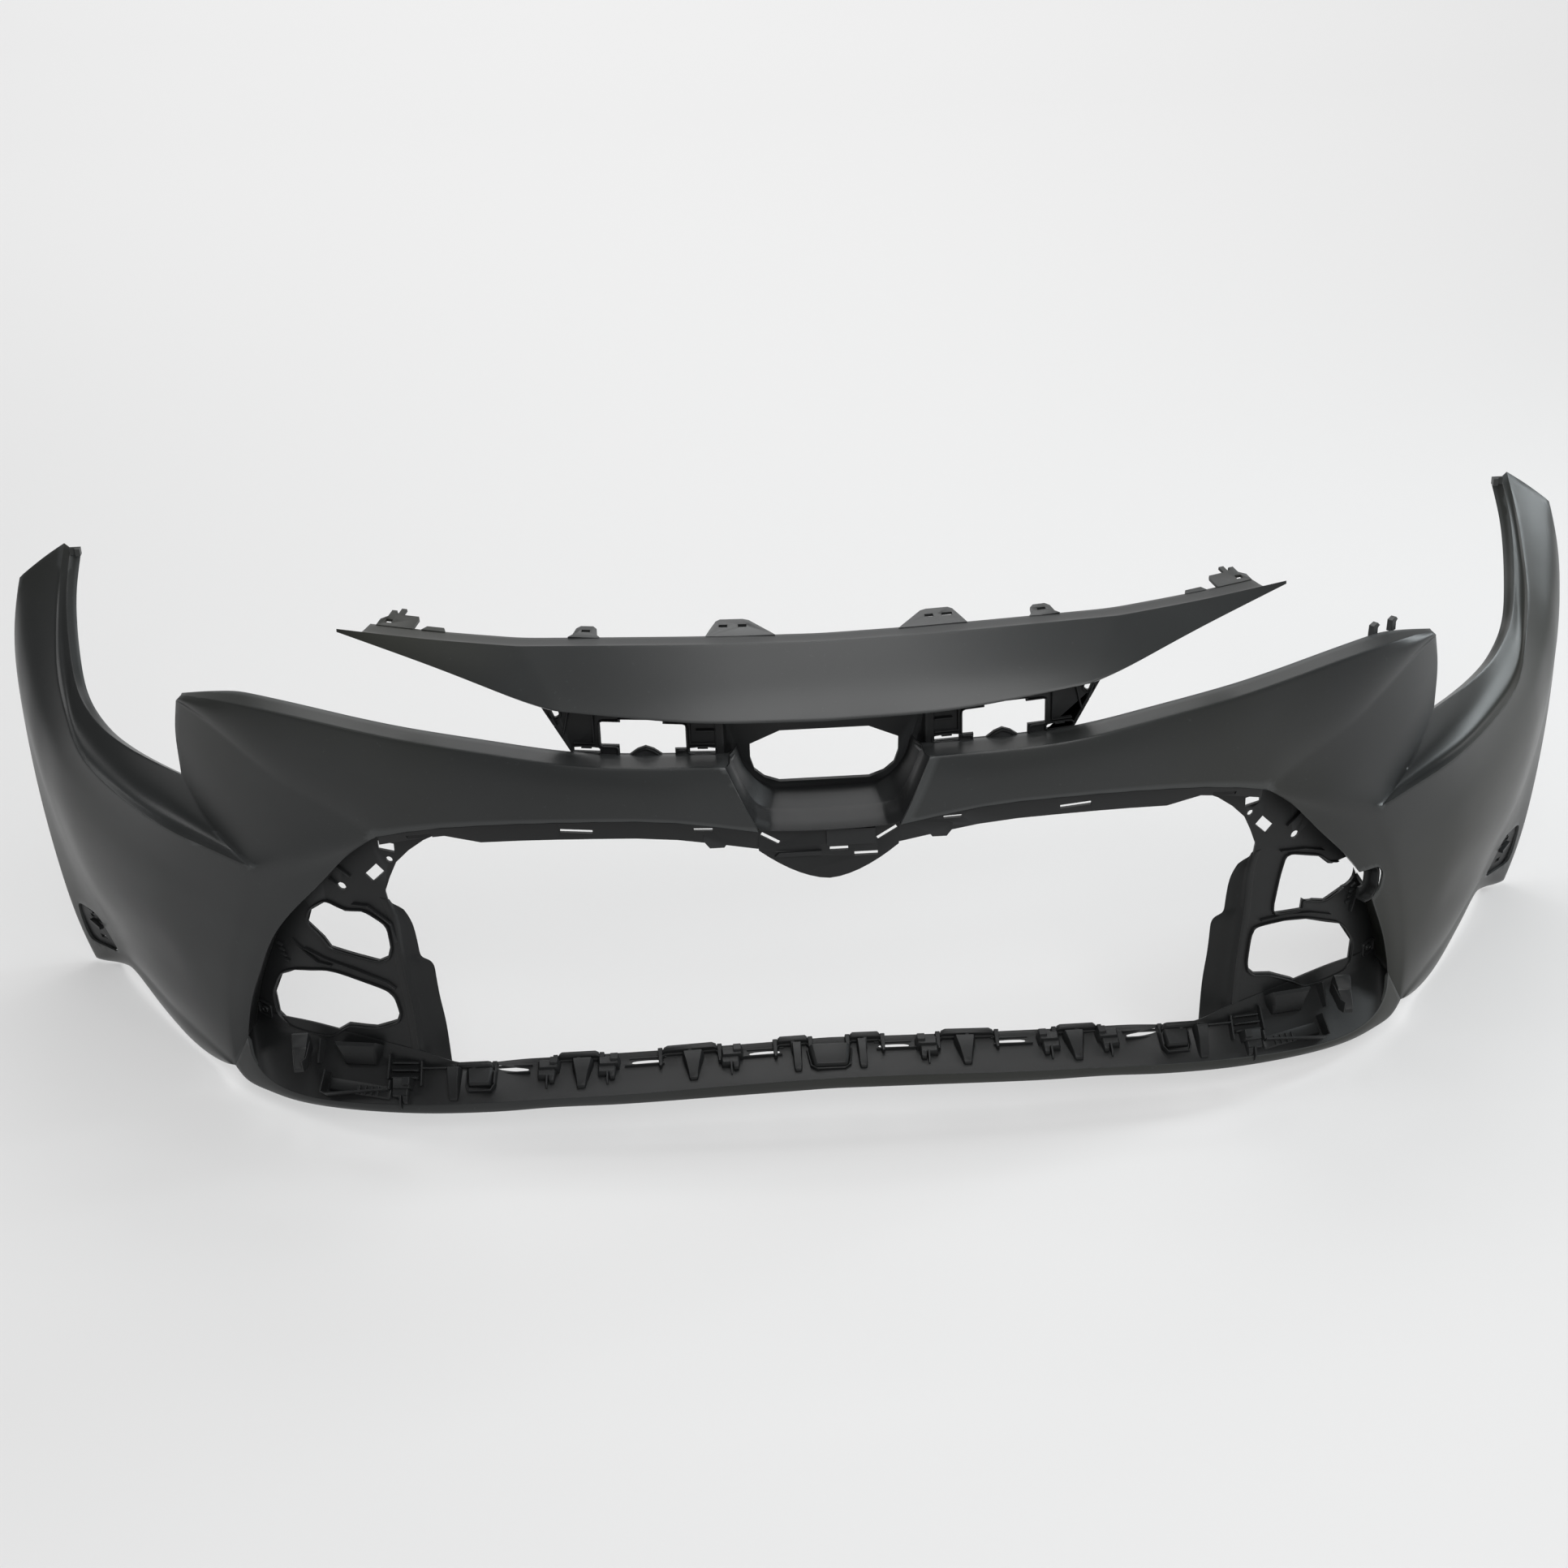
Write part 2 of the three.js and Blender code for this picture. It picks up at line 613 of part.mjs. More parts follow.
const ledgeBack = lipCrease.map((p) => new THREE.Vector3(p.x, ledgeReach(p.x), ledgeRise(p.x)));

function ledgeReach(x) {
  const blend = THREE.MathUtils.clamp((x - 340) / 90, 0, 1);
  const middle = 127 + 0.00009 * x * x;
  return THREE.MathUtils.lerp(middle, plan(x) + FOG_DEPTH - GAP, blend);
}

function ledgeRise(x) {
  return 25 - 12 * Math.min(1, x / 330) + 9 * THREE.MathUtils.smoothstep(x, 330, 420)
    - 12 * THREE.MathUtils.smoothstep(x, 540, 640);
}

function makeLip() {
  const middle = 9;
  const split = LEDGE_STEPS - middle;
  const strip = ruled(lipCrease, lipFoot, 2, 1.5, [0, -1, 0]);
  const outer = strip.map((row) => row.slice(0, split + 1));
  sheet("lip_end", outer, [0.5, -1, -0.3], { material: SKIN, pair: true, clear: ["corner_skin"] });
  const centre = strip.map((row) => row.slice(split));
  const whole = centre.map((row) => chain(row, mirrored(row)));
  sheet("lip_middle", whole, [0, -1, -0.2], { material: SKIN });
}

// The frame on the ledge at x: along the ledge, rearwards over it, and up from it.
function ledgeFrame(x, reach) {
  const away = Math.abs(x);
  const index = lipCrease.findIndex((p, i) => i > 4 && p.x <= away);
  const before = lipCrease[index - 1];
  const after = lipCrease[index];
  const t = (before.x - away) / (before.x - after.x);
  const front = before.clone().lerp(after, t);
  const back = ledgeBack[index - 1].clone().lerp(ledgeBack[index], t);
  const place = front.clone().lerp(back, reach);
  const along = before.clone().sub(after).normalize();
  const inwards = back.sub(front).normalize();
  if (x < 0) {
    [place, along, inwards].forEach((p) => p.setX(-p.x));
    along.negate();
  }
  const up = along.clone().cross(inwards).normalize();
  const level = up.clone().cross(along).normalize();
  return new THREE.Matrix4().makeBasis(along, level, up).setPosition(place);
}

function onLedge(geometry, x, reach) {
  geometry.applyMatrix4(ledgeFrame(x, reach));
  return solid(geometry);
}

function block(width, length, height, sink = 2) {
  const box = new THREE.BoxGeometry(width, length, height + sink);
  box.translate(0, 0, (height - sink) / 2);
  return box;
}

// A block whose top is narrower at the front, such as a locating rib.
function wedge(width, length, height, narrow) {
  const [w, n, l] = [width / 2, narrow / 2, length / 2];
  const shape = outline([[-w, l], [-n, -l], [n, -l], [w, l]]);
  const geometry = new THREE.ExtrudeGeometry(shape, { depth: height + 2, bevelEnabled: false });
  const position = geometry.attributes.position;
  for (let i = 0; i < position.count; i++) {
    if (position.getY(i) < 0 && position.getZ(i) > 1) position.setZ(i, height * 0.35 + 2);
  }
  geometry.translate(0, 0, -2);
  return geometry;
}

// A raised pad on the rear edge, with a rounded top.
function pad(width) {
  const shape = new THREE.Shape();
  const height = 9;
  shape.moveTo(-width / 2, -4);
  shape.lineTo(width / 2, -4);
  shape.lineTo(width / 2 - 3, height);
  shape.lineTo(-width / 2 + 3, height);
  shape.closePath();
  const geometry = new THREE.ExtrudeGeometry(shape, { depth: 6, bevelEnabled: false });
  geometry.rotateX(Math.PI / 2);
  geometry.translate(0, 3, 0);
  return geometry;
}

// A hooked clip: a stepped block, a lower step in front of it, and a pointed tongue.
function clip() {
  const step = block(24, 12, 10);
  step.translate(0, 4, 0);
  const front = block(20, 10, 5);
  front.translate(2, -6, 0);
  const tongue = wedge(6, 12, 5, 2);
  tongue.translate(-2, -14, 0);
  return [step, front, tongue];
}

const PADS = [[39, 38], [150, 64], [270, 50], [382, 44]];
const RIBS = [38, 147, 267, 400];
const CLIPS = [105, 238, 303];
const BOXES = [376];
const LEDGE_SLOTS = [70, 197, 342];

function furnish(ledge, side, from, to) {
  const inside = (x) => x >= from && x < to;
  let made = ledge;
  PADS.filter(([x]) => inside(x)).forEach(([x, width]) => {
    made = made.add(onLedge(pad(width), side * x, 0.97));
  });
  RIBS.filter(inside).forEach((x) => {
    made = made.add(onLedge(wedge(22, 34, 12, 9), side * x, 0.6));
  });
  CLIPS.filter(inside).forEach((x) => {
    clip().forEach((piece) => {
      made = made.add(onLedge(piece, side * x, 0.72));
    });
  });
  BOXES.filter(inside).forEach((x) => {
    made = made.add(onLedge(block(27, 24, 9), side * x, 0.7));
  });
  LEDGE_SLOTS.filter(inside).forEach((x) => {
    const cutter = block(30, 6, 20, 20);
    made = made.subtract(onLedge(cutter, side * x, 0.84));
  });
  return made;
}

// The louvre, hooked clip, long pocket, upright bracket and screw boss under the fog lamp.
function furnishEnd(ledge, side) {
  let made = ledge;
  [-8, 0, 8].forEach((shift) => {
    const slat = block(30, 3, 9);
    slat.rotateX(0.35);
    slat.translate(0, shift, 0);
    made = made.add(onLedge(slat, side * 452, 0.78));
  });
  clip().forEach((piece) => {
    made = made.add(onLedge(piece, side * 452, 0.42));
  });
  const rim = block(76, 3, 12);
  rim.rotateZ(side * 0.14);
  made = made.add(onLedge(rim, side * 508, 0.36));
  const end = block(3, 26, 12);
  made = made.add(onLedge(end, side * 545, 0.55));
  const bed = block(34, 10, 5);
  made = made.add(onLedge(bed, side * 492, 0.22));
  made = made.add(onLedge(wedge(16, 40, 16, 12), side * 582, 0.5));
  const boss = new THREE.CylinderGeometry(7, 8, 12, 12);
  boss.rotateX(Math.PI / 2);
  boss.translate(0, 0, 4);
  return made.add(onLedge(boss, side * 600, 0.7));
}

function endLedgeRows(to) {
  return faced(ruled(lipCrease.slice(0, to), ledgeBack.slice(0, to), 2), [0, 0, 1]);
}

function middleLedgeRows(from) {
  const half = ruled(lipCrease.slice(from), ledgeBack.slice(from), 2);
  return faced(half.map((row) => chain(row, mirrored(row))), [0, 0, 1]);
}

function makeLedges() {
  const split = 15;
  const edge = lipCrease[split].x;
  const middleRows = middleLedgeRows(split);
  let middle = solid(shell(middleRows, gridNormals(middleRows), WALL));
  middle = furnish(furnish(middle, 1, 0, edge), -1, 0, edge);
  middle = middle.add(onLedge(wedge(44, 26, 10, 36), 0.01, 0.6));
  add("ledge_middle", geometryOf(unpocketed(middle)), INNER);
  const rows = endLedgeRows(split + 1);
  const bare = solid(shell(rows, gridNormals(rows), WALL));
  const end = furnishEnd(furnish(bare, 1, edge, OVERALL_WIDTH), 1);
  const clear = clearOf(end.subtract(fogPanelRoom()), ["recess_wall", "grille_column"]);
  addPair("ledge_end", geometryOf(clear), INNER);
}

// All that lies behind the face of the fog lamp panel.
function fogPanelRoom() {
  return followingWall(438, 660, -40, 330, FOG_DEPTH - 3 * GAP, 10, 60);
}

// ---------------------------------------------------------------- fog lamp panel and grille column

// The wall from the edge of the corner skin back to the fog lamp panel.
function makeRecessWall() {
  const back = recessEdge.map((p) => {
    const x = p.x - 6;
    return new THREE.Vector3(x, plan(x) + FOG_DEPTH - GAP, p.z);
  });
  sheet("recess_wall", [recessEdge, back], [-1, 0, 0], {
    material: INNER, pair: true, clear: ["corner_skin"],
  });
}

const FOG_PANEL = [
  [372, 326], [372, 311], [395, 312], [411, 302], [428, 287], [443, 270], [452, 250], [459, 231],
  [456, 214], [453, 200], [449, 150], [443, 90], [441, 45], [441, 20], [470, 19], [530, 18],
  [580, 14], [612, 9], [634, 6], [625, 55], [608, 105], [586, 158], [558, 200], [519, 246], [486, 288],
  [452, 317], [430, 324],
];
const FOG_HOLES = [
  slot(452, 286, 18, 11), disc(450, 271, 4), slot(468, 251, 22, 12, -48), disc(507, 225, PIN),
];
const LAMP_OPENING_LEFT = [
  [528, 201], [507, 195], [485, 200], [462, 189], [460, 163], [464, 149], [474, 142], [511, 143],
  [528, 144], [535, 154], [552, 168], [546, 186],
];
const GRILLE_OPENING_LEFT = [
  [576, 100], [531, 114], [470, 107], [462, 100], [458, 81], [462, 70], [486, 56], [518, 50],
  [528, 41], [543, 28], [588, 24], [602, 34], [604, 60], [592, 89],
];
const LAMP_OPENING_RIGHT = [
  [498, 205], [540, 186], [553, 172], [566, 166], [576, 160], [584, 148], [573, 143], [574, 131],
  [551, 126], [522, 139], [521, 127], [484, 136], [492, 181],
];
const GRILLE_OPENING_RIGHT = [
  [464, 127], [501, 121], [529, 112], [575, 86], [594, 54], [592, 28], [584, 22], [533, 26],
  [514, 42], [487, 60], [466, 68], [459, 76], [457, 88], [460, 118],
];

function makeFogPanel(lamp, grille) {
  const wall = followingWall(360, 640, 8, 330, FOG_DEPTH, 10);
  const openings = [...FOG_HOLES, outline(lamp), outline(grille)];
  return pierced(wall.intersect(prism(outline(FOG_PANEL))), openings);
}

function addFogPanels() {
  add("fog_panel_right", geometryOf(makeFogPanel(LAMP_OPENING_RIGHT, GRILLE_OPENING_RIGHT)), INNER);
  const left = new THREE.Mesh(geometryOf(makeFogPanel(LAMP_OPENING_LEFT, GRILLE_OPENING_LEFT)), INNER);
  left.name = "fog_panel_left";
  left.scale.x = -1;
  cover.add(left);
}

// The wall beside the lower grille, from the fog lamp panel inwards and back.
function makeGrilleColumn() {
  const front = smooth([[451, 141, 204], [447.6, 139, 150], [441.6, 135, 90], [439, 134, 20]], 5);
  const back = smooth([
    [436, 152, 188], [431, 152, 146], [421, 152, 122], [415, 152, 90], [409, 152, 22],
  ], 5);
  sheet("grille_column", ruled(front, back, 2), [-1, -0.6, 0], { material: INNER, pair: true });
  const shape = outline([[-8, 0], [12, 0], [12, 14], [-2, 16], [-8, 15]]);
  const stop = new THREE.ExtrudeGeometry(shape, { depth: WALL, bevelEnabled: false });
  stop.rotateX(Math.PI / 2);
  stop.translate(423, 158, 122);
  addPair("grille_stop", stop, INNER);
}

// ---------------------------------------------------------------- small lugs

// Two lugs on the top edge of the right horn, where the lamp rests.
function makeHornLugs() {
  const depth = 6;
  const shape = outline([[-4, -4], [4, -4], [4, 5], [7, 7], [4, 10], [-3, 8]]);
  ["inner", "outer"].forEach((which, i) => {
    const [before, place, after] = hornCrease.slice(3 + i);
    const lean = Math.atan2(after.y - before.y, after.x - before.x);
    const lug = new THREE.ExtrudeGeometry(shape, { depth, bevelEnabled: false });
    lug.rotateX(Math.PI / 2);
    lug.rotateZ(lean);
    const behind = depth + 3 * GAP;
    lug.translate(
      place.x - Math.sin(lean) * behind, place.y + TOP_REACH + Math.cos(lean) * behind, place.z + 3,
    );
    add(`horn_lug_${which}`, lug, SKIN);
  });
}

// The hook at the top of the wing that slips under the fender.
function makeWingHook() {
  const shape = outline([[0, 0], [12, 0], [12, 8], [7, 8], [5, 3], [0, 3]]);
  const hook = new THREE.ExtrudeGeometry(shape, { depth: 8, bevelEnabled: false });
  hook.rotateZ(Math.PI);
  hook.translate(828, 563, 460);
  addPair("wing_hook", geometryOf(clearOf(solid(hook), ["fender_flange", "wing_shelf"])), SKIN);
}

// ---------------------------------------------------------------- assembly

// The room that a region takes, with a gap all round.
function roomOf(name) {
  const { rows, normals, pair, wall = WALL } = sheets.find((s) => s.name === name);
  const room = solid(shell(rows, normals, wall, GAP)).add(solid(shell(rows, normals, wall, GAP / 2)));
  return pair ? room.add(room.mirror([1, 0, 0])) : room;
}

function clearOf(manifold, names) {
  return unpocketed(names.reduce((left, name) => left.subtract(roomOf(name)), manifold));
}

function makeShells() {
  sheets.forEach(({ name, rows, normals, material, pair, cut, clear = [], wall = WALL }) => {
    let geometry = shell(rows, normals, wall);
    if (cut) geometry = geometryOf(solid(geometry).subtract(cut()));
    if (clear.length) geometry = geometryOf(clearOf(solid(geometry), clear));
    if (pair) addPair(name, geometry, material);
    else add(name, geometry, material);
  });
}

makeNose();
makeNoseFlange();
makeNoseUnderside();
makeEmblemCheek();
makeEmblemFloor();
makeBand();
makeCorner();
makeWing();
makeFootReturn();
makeLip();
makeRecessWall();
makeGrilleColumn();
makeShells();
makeNoseTabs();
addUpperPanels();
makeEmblemSeat();
add("emblem_chin", geometryOf(makeChin()), INNER);
addPair("band_flange", geometryOf(makeBandFlange()), INNER);
addPair("arch_pocket", makeArchPocket(), INNER);
makeLedges();
addFogPanels();
makeHornLugs();
makeWingHook();

const size = OVERALL_WIDTH / DRAWN_WIDTH;
cover.scale.setScalar(size);
cover.position.set(0, -MIDDLE * size, LOWEST * size);

export default cover;
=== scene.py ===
import math

import bmesh
import bpy
from mathutils import Matrix, Vector


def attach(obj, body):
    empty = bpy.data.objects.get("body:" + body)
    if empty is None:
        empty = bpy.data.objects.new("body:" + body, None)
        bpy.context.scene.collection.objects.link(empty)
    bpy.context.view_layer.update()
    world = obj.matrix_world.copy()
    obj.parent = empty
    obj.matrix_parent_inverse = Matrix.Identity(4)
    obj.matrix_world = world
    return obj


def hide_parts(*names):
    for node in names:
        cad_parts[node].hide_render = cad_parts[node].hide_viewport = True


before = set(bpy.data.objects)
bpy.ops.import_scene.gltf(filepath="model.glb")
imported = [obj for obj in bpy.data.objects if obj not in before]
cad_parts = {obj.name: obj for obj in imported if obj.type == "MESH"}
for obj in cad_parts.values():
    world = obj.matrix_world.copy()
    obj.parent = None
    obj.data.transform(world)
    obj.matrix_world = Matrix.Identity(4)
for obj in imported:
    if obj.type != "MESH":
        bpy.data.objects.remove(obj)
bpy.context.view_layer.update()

# The outlines below are drawn in millimetres on the cover's own axes, and at() places them.
SIZE = 1780 / 1834  # the cover's width over the width of the drawing
MIDDLE = 302.2  # y in the drawing at the middle of the cover's depth
LOWEST = 63.9  # how far the lowest point of the drawing lies below its zero
WALL = 0.003
FUNNEL_WALL = 0.0025
JAMB_WALL = 0.002
WELD = 0.0003  # closes the gaps that the solids keep between the regions of one moulding
PANEL_DEPTH = 42  # the upper grille panels, behind the plan line
FOG_DEPTH = 45  # the fog lamp panels, behind the plan line
PANEL_GAP = 0.3  # a return stops this far short of the panel that it meets
SUBDIVISION = 2
SHARP_CORNER = 0.9  # how strongly a corner of an outline holds its shape
POINTS_PER_MM = 8  # points of a sheet that round to the same place are one

# How wide the edges are rounded and, for two kinds of piece, from what angle.
EDGE_SEGMENTS = 2
SKIN_EDGE, SKIN_EDGE_ANGLE = 0.0011, 24
CARRIED_EDGE, CARRIED_EDGE_ANGLE = 0.0006, 30
COLUMN_EDGE = 0.0006
INNER_EDGE = 0.0005
RIM_EDGE = 0.0004
LEDGE_EDGE = 0.0009


def at(p):
    """A point of the drawing, in metres in the part's own frame."""
    return Vector((p[0] * SIZE, (p[1] - MIDDLE) * SIZE, (p[2] + LOWEST) * SIZE)) / 1000


def V(*p):
    return Vector(p)


# ------------------------------------------------------------------ curves and surfaces

CURVE_SAMPLES = 200
SAME_POINT = 1e-4

# The plan line: how far back the front of the cover lies, at a distance from the middle.
PLAN = [
    (0, 0), (100, 2), (200, 12), (300, 32), (400, 68), (450, 92), (500, 120),
    (550, 150), (600, 185), (650, 235), (700, 295),
]


def plan(x):
    away = abs(x)
    for (x0, y0), (x1, y1) in zip(PLAN, PLAN[1:]):
        if away <= x1:
            return y0 + (y1 - y0) * (away - x0) / (x1 - x0)
    return PLAN[-1][1]


def segment_tangents(p0, p1, p2, p3):
    d0, d1, d2 = [(b - a).length_squared ** 0.25 for a, b in ((p0, p1), (p1, p2), (p2, p3))]
    if d1 < SAME_POINT:
        d1 = 1.0
    if d0 < SAME_POINT:
        d0 = d1
    if d2 < SAME_POINT:
        d2 = d1
    t1 = ((p1 - p0) / d0 - (p2 - p0) / (d0 + d1) + (p2 - p1) / d1) * d1
    t2 = ((p2 - p1) / d1 - (p3 - p1) / (d1 + d2) + (p3 - p2) / d2) * d1
    return t1, t2


def curve_point(knots, t):
    last = len(knots) - 1
    p = last * t
    i = min(int(math.floor(p)), last - 1)
    w = p - i
    p0 = knots[i - 1] if i > 0 else 2 * knots[0] - knots[1]
    p3 = knots[i + 2] if i + 2 <= last else 2 * knots[last] - knots[last - 1]
    p1, p2 = knots[i], knots[i + 1]
    t1, t2 = segment_tangents(p0, p1, p2, p3)
    c2 = -3 * p1 + 3 * p2 - 2 * t1 - t2
    c3 = 2 * p1 - 2 * p2 + t1 + t2
    return p1 + t1 * w + c2 * w * w + c3 * w * w * w


def spaced(dense, steps):
    """Points at equal distances along a chain of points."""
    lengths = [0.0]
    for a, b in zip(dense, dense[1:]):
        lengths.append(lengths[-1] + (b - a).length)
    out = []
    i = 0
    for s in range(steps + 1):
        want = lengths[-1] * s / steps
        while i < len(dense) - 2 and lengths[i + 1] < want:
            i += 1
        span = lengths[i + 1] - lengths[i]
        out.append(dense[i].lerp(dense[i + 1], (want - lengths[i]) / span if span else 0))
    return out


def smooth(points, steps):
    """A smooth curve through the points, cut into equal steps."""
    knots = [Vector(p) for p in points]
    dense = [curve_point(knots, i / CURVE_SAMPLES) for i in range(CURVE_SAMPLES + 1)]
    return spaced(dense, steps)


def ruled(first, last, steps, bow=0, facing=(0, -1, 0)):
    """Rows of points from one line to another, bowed out the way they face."""
    lift = Vector(facing).normalized()
    rows = []
    for j in range(steps + 1):
        t = j / steps
        rows.append([p.lerp(q, t) + lift * (bow * 4 * t * (1 - t)) for p, q in zip(first, last)])
    return rows


def filled(top, bottom, left, right):
    """Rows of points that fill the patch inside four lines."""
    columns, steps = len(top) - 1, len(left) - 1
    rows = []
    for j in range(steps + 1):
        v = j / steps
        row = []
        for i in range(columns + 1):
            u = i / columns
            across = left[j].lerp(right[j], u)
            down = top[i].lerp(bottom[i], v)
            upper = top[0].lerp(top[columns], u)
            lower = bottom[0].lerp(bottom[columns], u)
            row.append(across + down - upper.lerp(lower, v))
        rows.append(row)
    return rows


def mirror_point(p):
    return V(-p[0], p[1], p[2])


def mirrored(points):
    return [mirror_point(p) for p in reversed(points)]


def chain(first, *others):
    out = list(first)
    for part in others:
        out += part[1:]
    return out


# ------------------------------------------------------------------ a welded sheet of quads

class Sheet:
    """Grids of quads that share their edges, in drawing millimetres."""

    def __init__(self):
        self.points = []
        self.index = {}
        self.faces = []
        self.creases = {}
        self.corners = []

    def corner(self, p):
        """Keeps the outline's corner at p sharp."""
        self.corners += [self.vertex(p), self.vertex(mirror_point(p))]

    def vertex(self, p):
        key = tuple(round(c * POINTS_PER_MM) for c in p)
        if key not in self.index:
            self.index[key] = len(self.points)
            self.points.append(Vector(p))
        return self.index[key]

    def grid(self, rows, facing, pair=False):
        """Adds the quads between rows of points; a pair is added on both sides of the cover."""
        if pair:
            self.grid([[mirror_point(p) for p in row] for row in rows], mirror_point(facing))
        total = V(0, 0, 0)
        for a, b in zip(rows, rows[1:]):
            for i in range(len(a) - 1):
                total += (a[i + 1] - a[i]).cross(b[i] - a[i])
        turned = total.dot(Vector(facing)) < 0
        for a, b in zip(rows, rows[1:]):
            for i in range(len(a) - 1):
                corners = [self.vertex(p) for p in (a[i], a[i + 1], b[i + 1], b[i])]
                corners = list(dict.fromkeys(corners))
                if len(corners) > 2:
                    self.faces.append(corners[::-1] if turned else corners)

    def crease(self, line, weight, pair=True):
        ends = [self.vertex(p) for p in line]
        for a, b in zip(ends, ends[1:]):
            self.creases[frozenset((a, b))] = weight
        if pair:
            self.crease([mirror_point(p) for p in line], weight, False)

    def mesh(self, name):
        mesh = bpy.data.meshes.new(name)
        mesh.from_pydata([at(p) for p in self.points], [], self.faces)
        mesh.validate()
        mesh.update()
        layer = mesh.attributes.new("crease_edge", "FLOAT", "EDGE")
        for edge in mesh.edges:
            layer.data[edge.index].value = self.creases.get(frozenset(edge.vertices), 0.0)
        corners = mesh.attributes.new("crease_vert", "FLOAT", "POINT")
        for i in self.corners:
            corners.data[i].value = SHARP_CORNER
        mesh.shade_smooth()
        return mesh


def piece(name, mesh, material, nodes=()):
    obj = bpy.data.objects.new(name, mesh)
    bpy.context.scene.collection.objects.link(obj)
    mesh.materials.append(material)
    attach(obj, "root")
    if nodes:
        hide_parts(*nodes)
    return obj


def pairs(*names):
    return [f"{name}_{side}" for name in names for side in ("right", "left")]


def bake(obj):
    """Applies the modifiers, so that later cuts work on the final surface."""
    bpy.context.view_layer.update()
    graph = bpy.context.evaluated_depsgraph_get()
    mesh = bpy.data.meshes.new_from_object(obj.evaluated_get(graph))
    obj.modifiers.clear()
    old = obj.data
    obj.data = mesh
    bpy.data.meshes.remove(old)


def subdivided(obj):
    mod = obj.modifiers.new("subdivision", "SUBSURF")
    mod.levels = SUBDIVISION
    mod.render_levels = SUBDIVISION
    mod.boundary_smooth = "PRESERVE_CORNERS"


def thickened(obj, wall=WALL):
    """Gives the sheet its wall, inwards from the visible side."""
    mod = obj.modifiers.new("wall", "SOLIDIFY")
    mod.thickness = wall
    mod.offset = -1.0
    mod.use_even_offset = True
    mod.thickness_clamp = 1.2


def bevelled(obj, width, angle):
    """Rounds the edges that turn by more than the angle."""
    mod = obj.modifiers.new("edges", "BEVEL")
    mod.width = width
    mod.segments = EDGE_SEGMENTS
    mod.limit_method = "ANGLE"
    mod.angle_limit = math.radians(angle)
    mod.use_clamp_overlap = True
    mod.miter_outer = "MITER_ARC"


def sharpened(mesh, angle):
    """Smooth shading, except across edges that turn by more than the angle."""
    mesh.shade_smooth()
    bm = bmesh.new()
    bm.from_mesh(mesh)
    for edge in bm.edges:
        if len(edge.link_faces) == 2:
            edge.smooth = edge.calc_face_angle(0) < math.radians(angle)
    bm.to_mesh(mesh)
    bm.free()


def cut(obj, mesh):
    """Takes the closed mesh away from the object."""
    tool = bpy.data.objects.new("cutter", mesh)
    bpy.context.scene.collection.objects.link(tool)
    mod = obj.modifiers.new("opening", "BOOLEAN")
    mod.operation = "DIFFERENCE"
    mod.solver = "EXACT"
    mod.object = tool
    bake(obj)
    bpy.data.objects.remove(tool)
    bpy.data.meshes.remove(mesh)


# ------------------------------------------------------------------ materials

PLASTIC_SPECULAR = 0.28
PLASTIC_IOR = 1.49
FLOW_STRETCH = (0.6, 1.0, 1.6)
DUST_TONE = 1.9  # against the plastic's lighter tone
# how much paler than the plastic the convex edges are painted: partly wear, partly a painted
# highlight along the edges
EDGE_WEAR_AND_HIGHLIGHT_TONE = 3.2
WAVE, WAVE_DEPTH = 0.12, 0.0015
GRAIN_DEPTH = 0.0002


def node(tree, kind, **values):
    n = tree.nodes.new(kind)
    for key, value in values.items():
        if key in n.inputs:
            n.inputs[key].default_value = value
        else:
            setattr(n, key, value)
    return n


def noise(tree, vector, **values):
    n = node(tree, "ShaderNodeTexNoise", **values)
    tree.links.new(vector, n.inputs["Vector"])
    return n.outputs["Fac"]


def ranged(tree, value, source=(0, 1), target=(0, 1)):
    """The value, carried from one range to another."""
    n = node(tree, "ShaderNodeMapRange")
    for side, (low, high) in (("From", source), ("To", target)):
        n.inputs[side + " Min"].default_value = low
        n.inputs[side + " Max"].default_value = high
    tree.links.new(value, n.inputs["Value"])
    return n.outputs["Result"]


def mixed(tree, factor, colour, other):
    """The linked colour, mixed with a fixed one by the factor."""
    n = node(tree, "ShaderNodeMix", data_type="RGBA")
    tree.links.new(factor, n.inputs["Factor"])
    tree.links.new(colour, n.inputs["A"])
    n.inputs["B"].default_value = (*other, 1)
    return n.outputs["Result"]


def bumped(tree, height, strength, distance):
    n = node(tree, "ShaderNodeBump", Strength=strength, Distance=distance)
    tree.links.new(height, n.inputs["Height"])
    return n


def moulded_colour(tree, place, along_flow, tones, tint, edge_wear_and_highlight):
    """Flow marks between two tones, tinted patches, pale specks, and pale convex edges that are
    partly wear and partly a painted highlight.
    """
    flow = noise(tree, along_flow, Scale=5.0, Detail=3.0, Roughness=0.5)
    ramp = node(tree, "ShaderNodeValToRGB")
    for element, position, tone in zip(ramp.color_ramp.elements, (0.3, 0.7), tones):
        element.position = position
        element.color = (*tone, 1)
    tree.links.new(flow, ramp.inputs["Fac"])
    light = tones[1]

    patch = noise(tree, place, Scale=2.2, Detail=1.0)
    tinted = mixed(tree, ranged(tree, patch, (0.45, 0.7), (0, 0.5)), ramp.outputs["Color"], tint)
    speck = noise(tree, place, Scale=240.0, Detail=2.0)
    dust = [c * DUST_TONE for c in light]
    dusted = mixed(tree, ranged(tree, speck, (0.68, 0.8), (0, 0.35)), tinted, dust)
    # convex edges, found by pointiness, are painted pale: partly wear, partly a painted highlight
    # along the edges
    edge = node(tree, "ShaderNodeNewGeometry").outputs["Pointiness"]
    worn_and_highlit_edge_colour = [c * EDGE_WEAR_AND_HIGHLIGHT_TONE for c in light]
    return mixed(tree, ranged(tree, edge, (0.53, 0.62), (0, edge_wear_and_highlight)), dusted, worn_and_highlit_edge_colour)


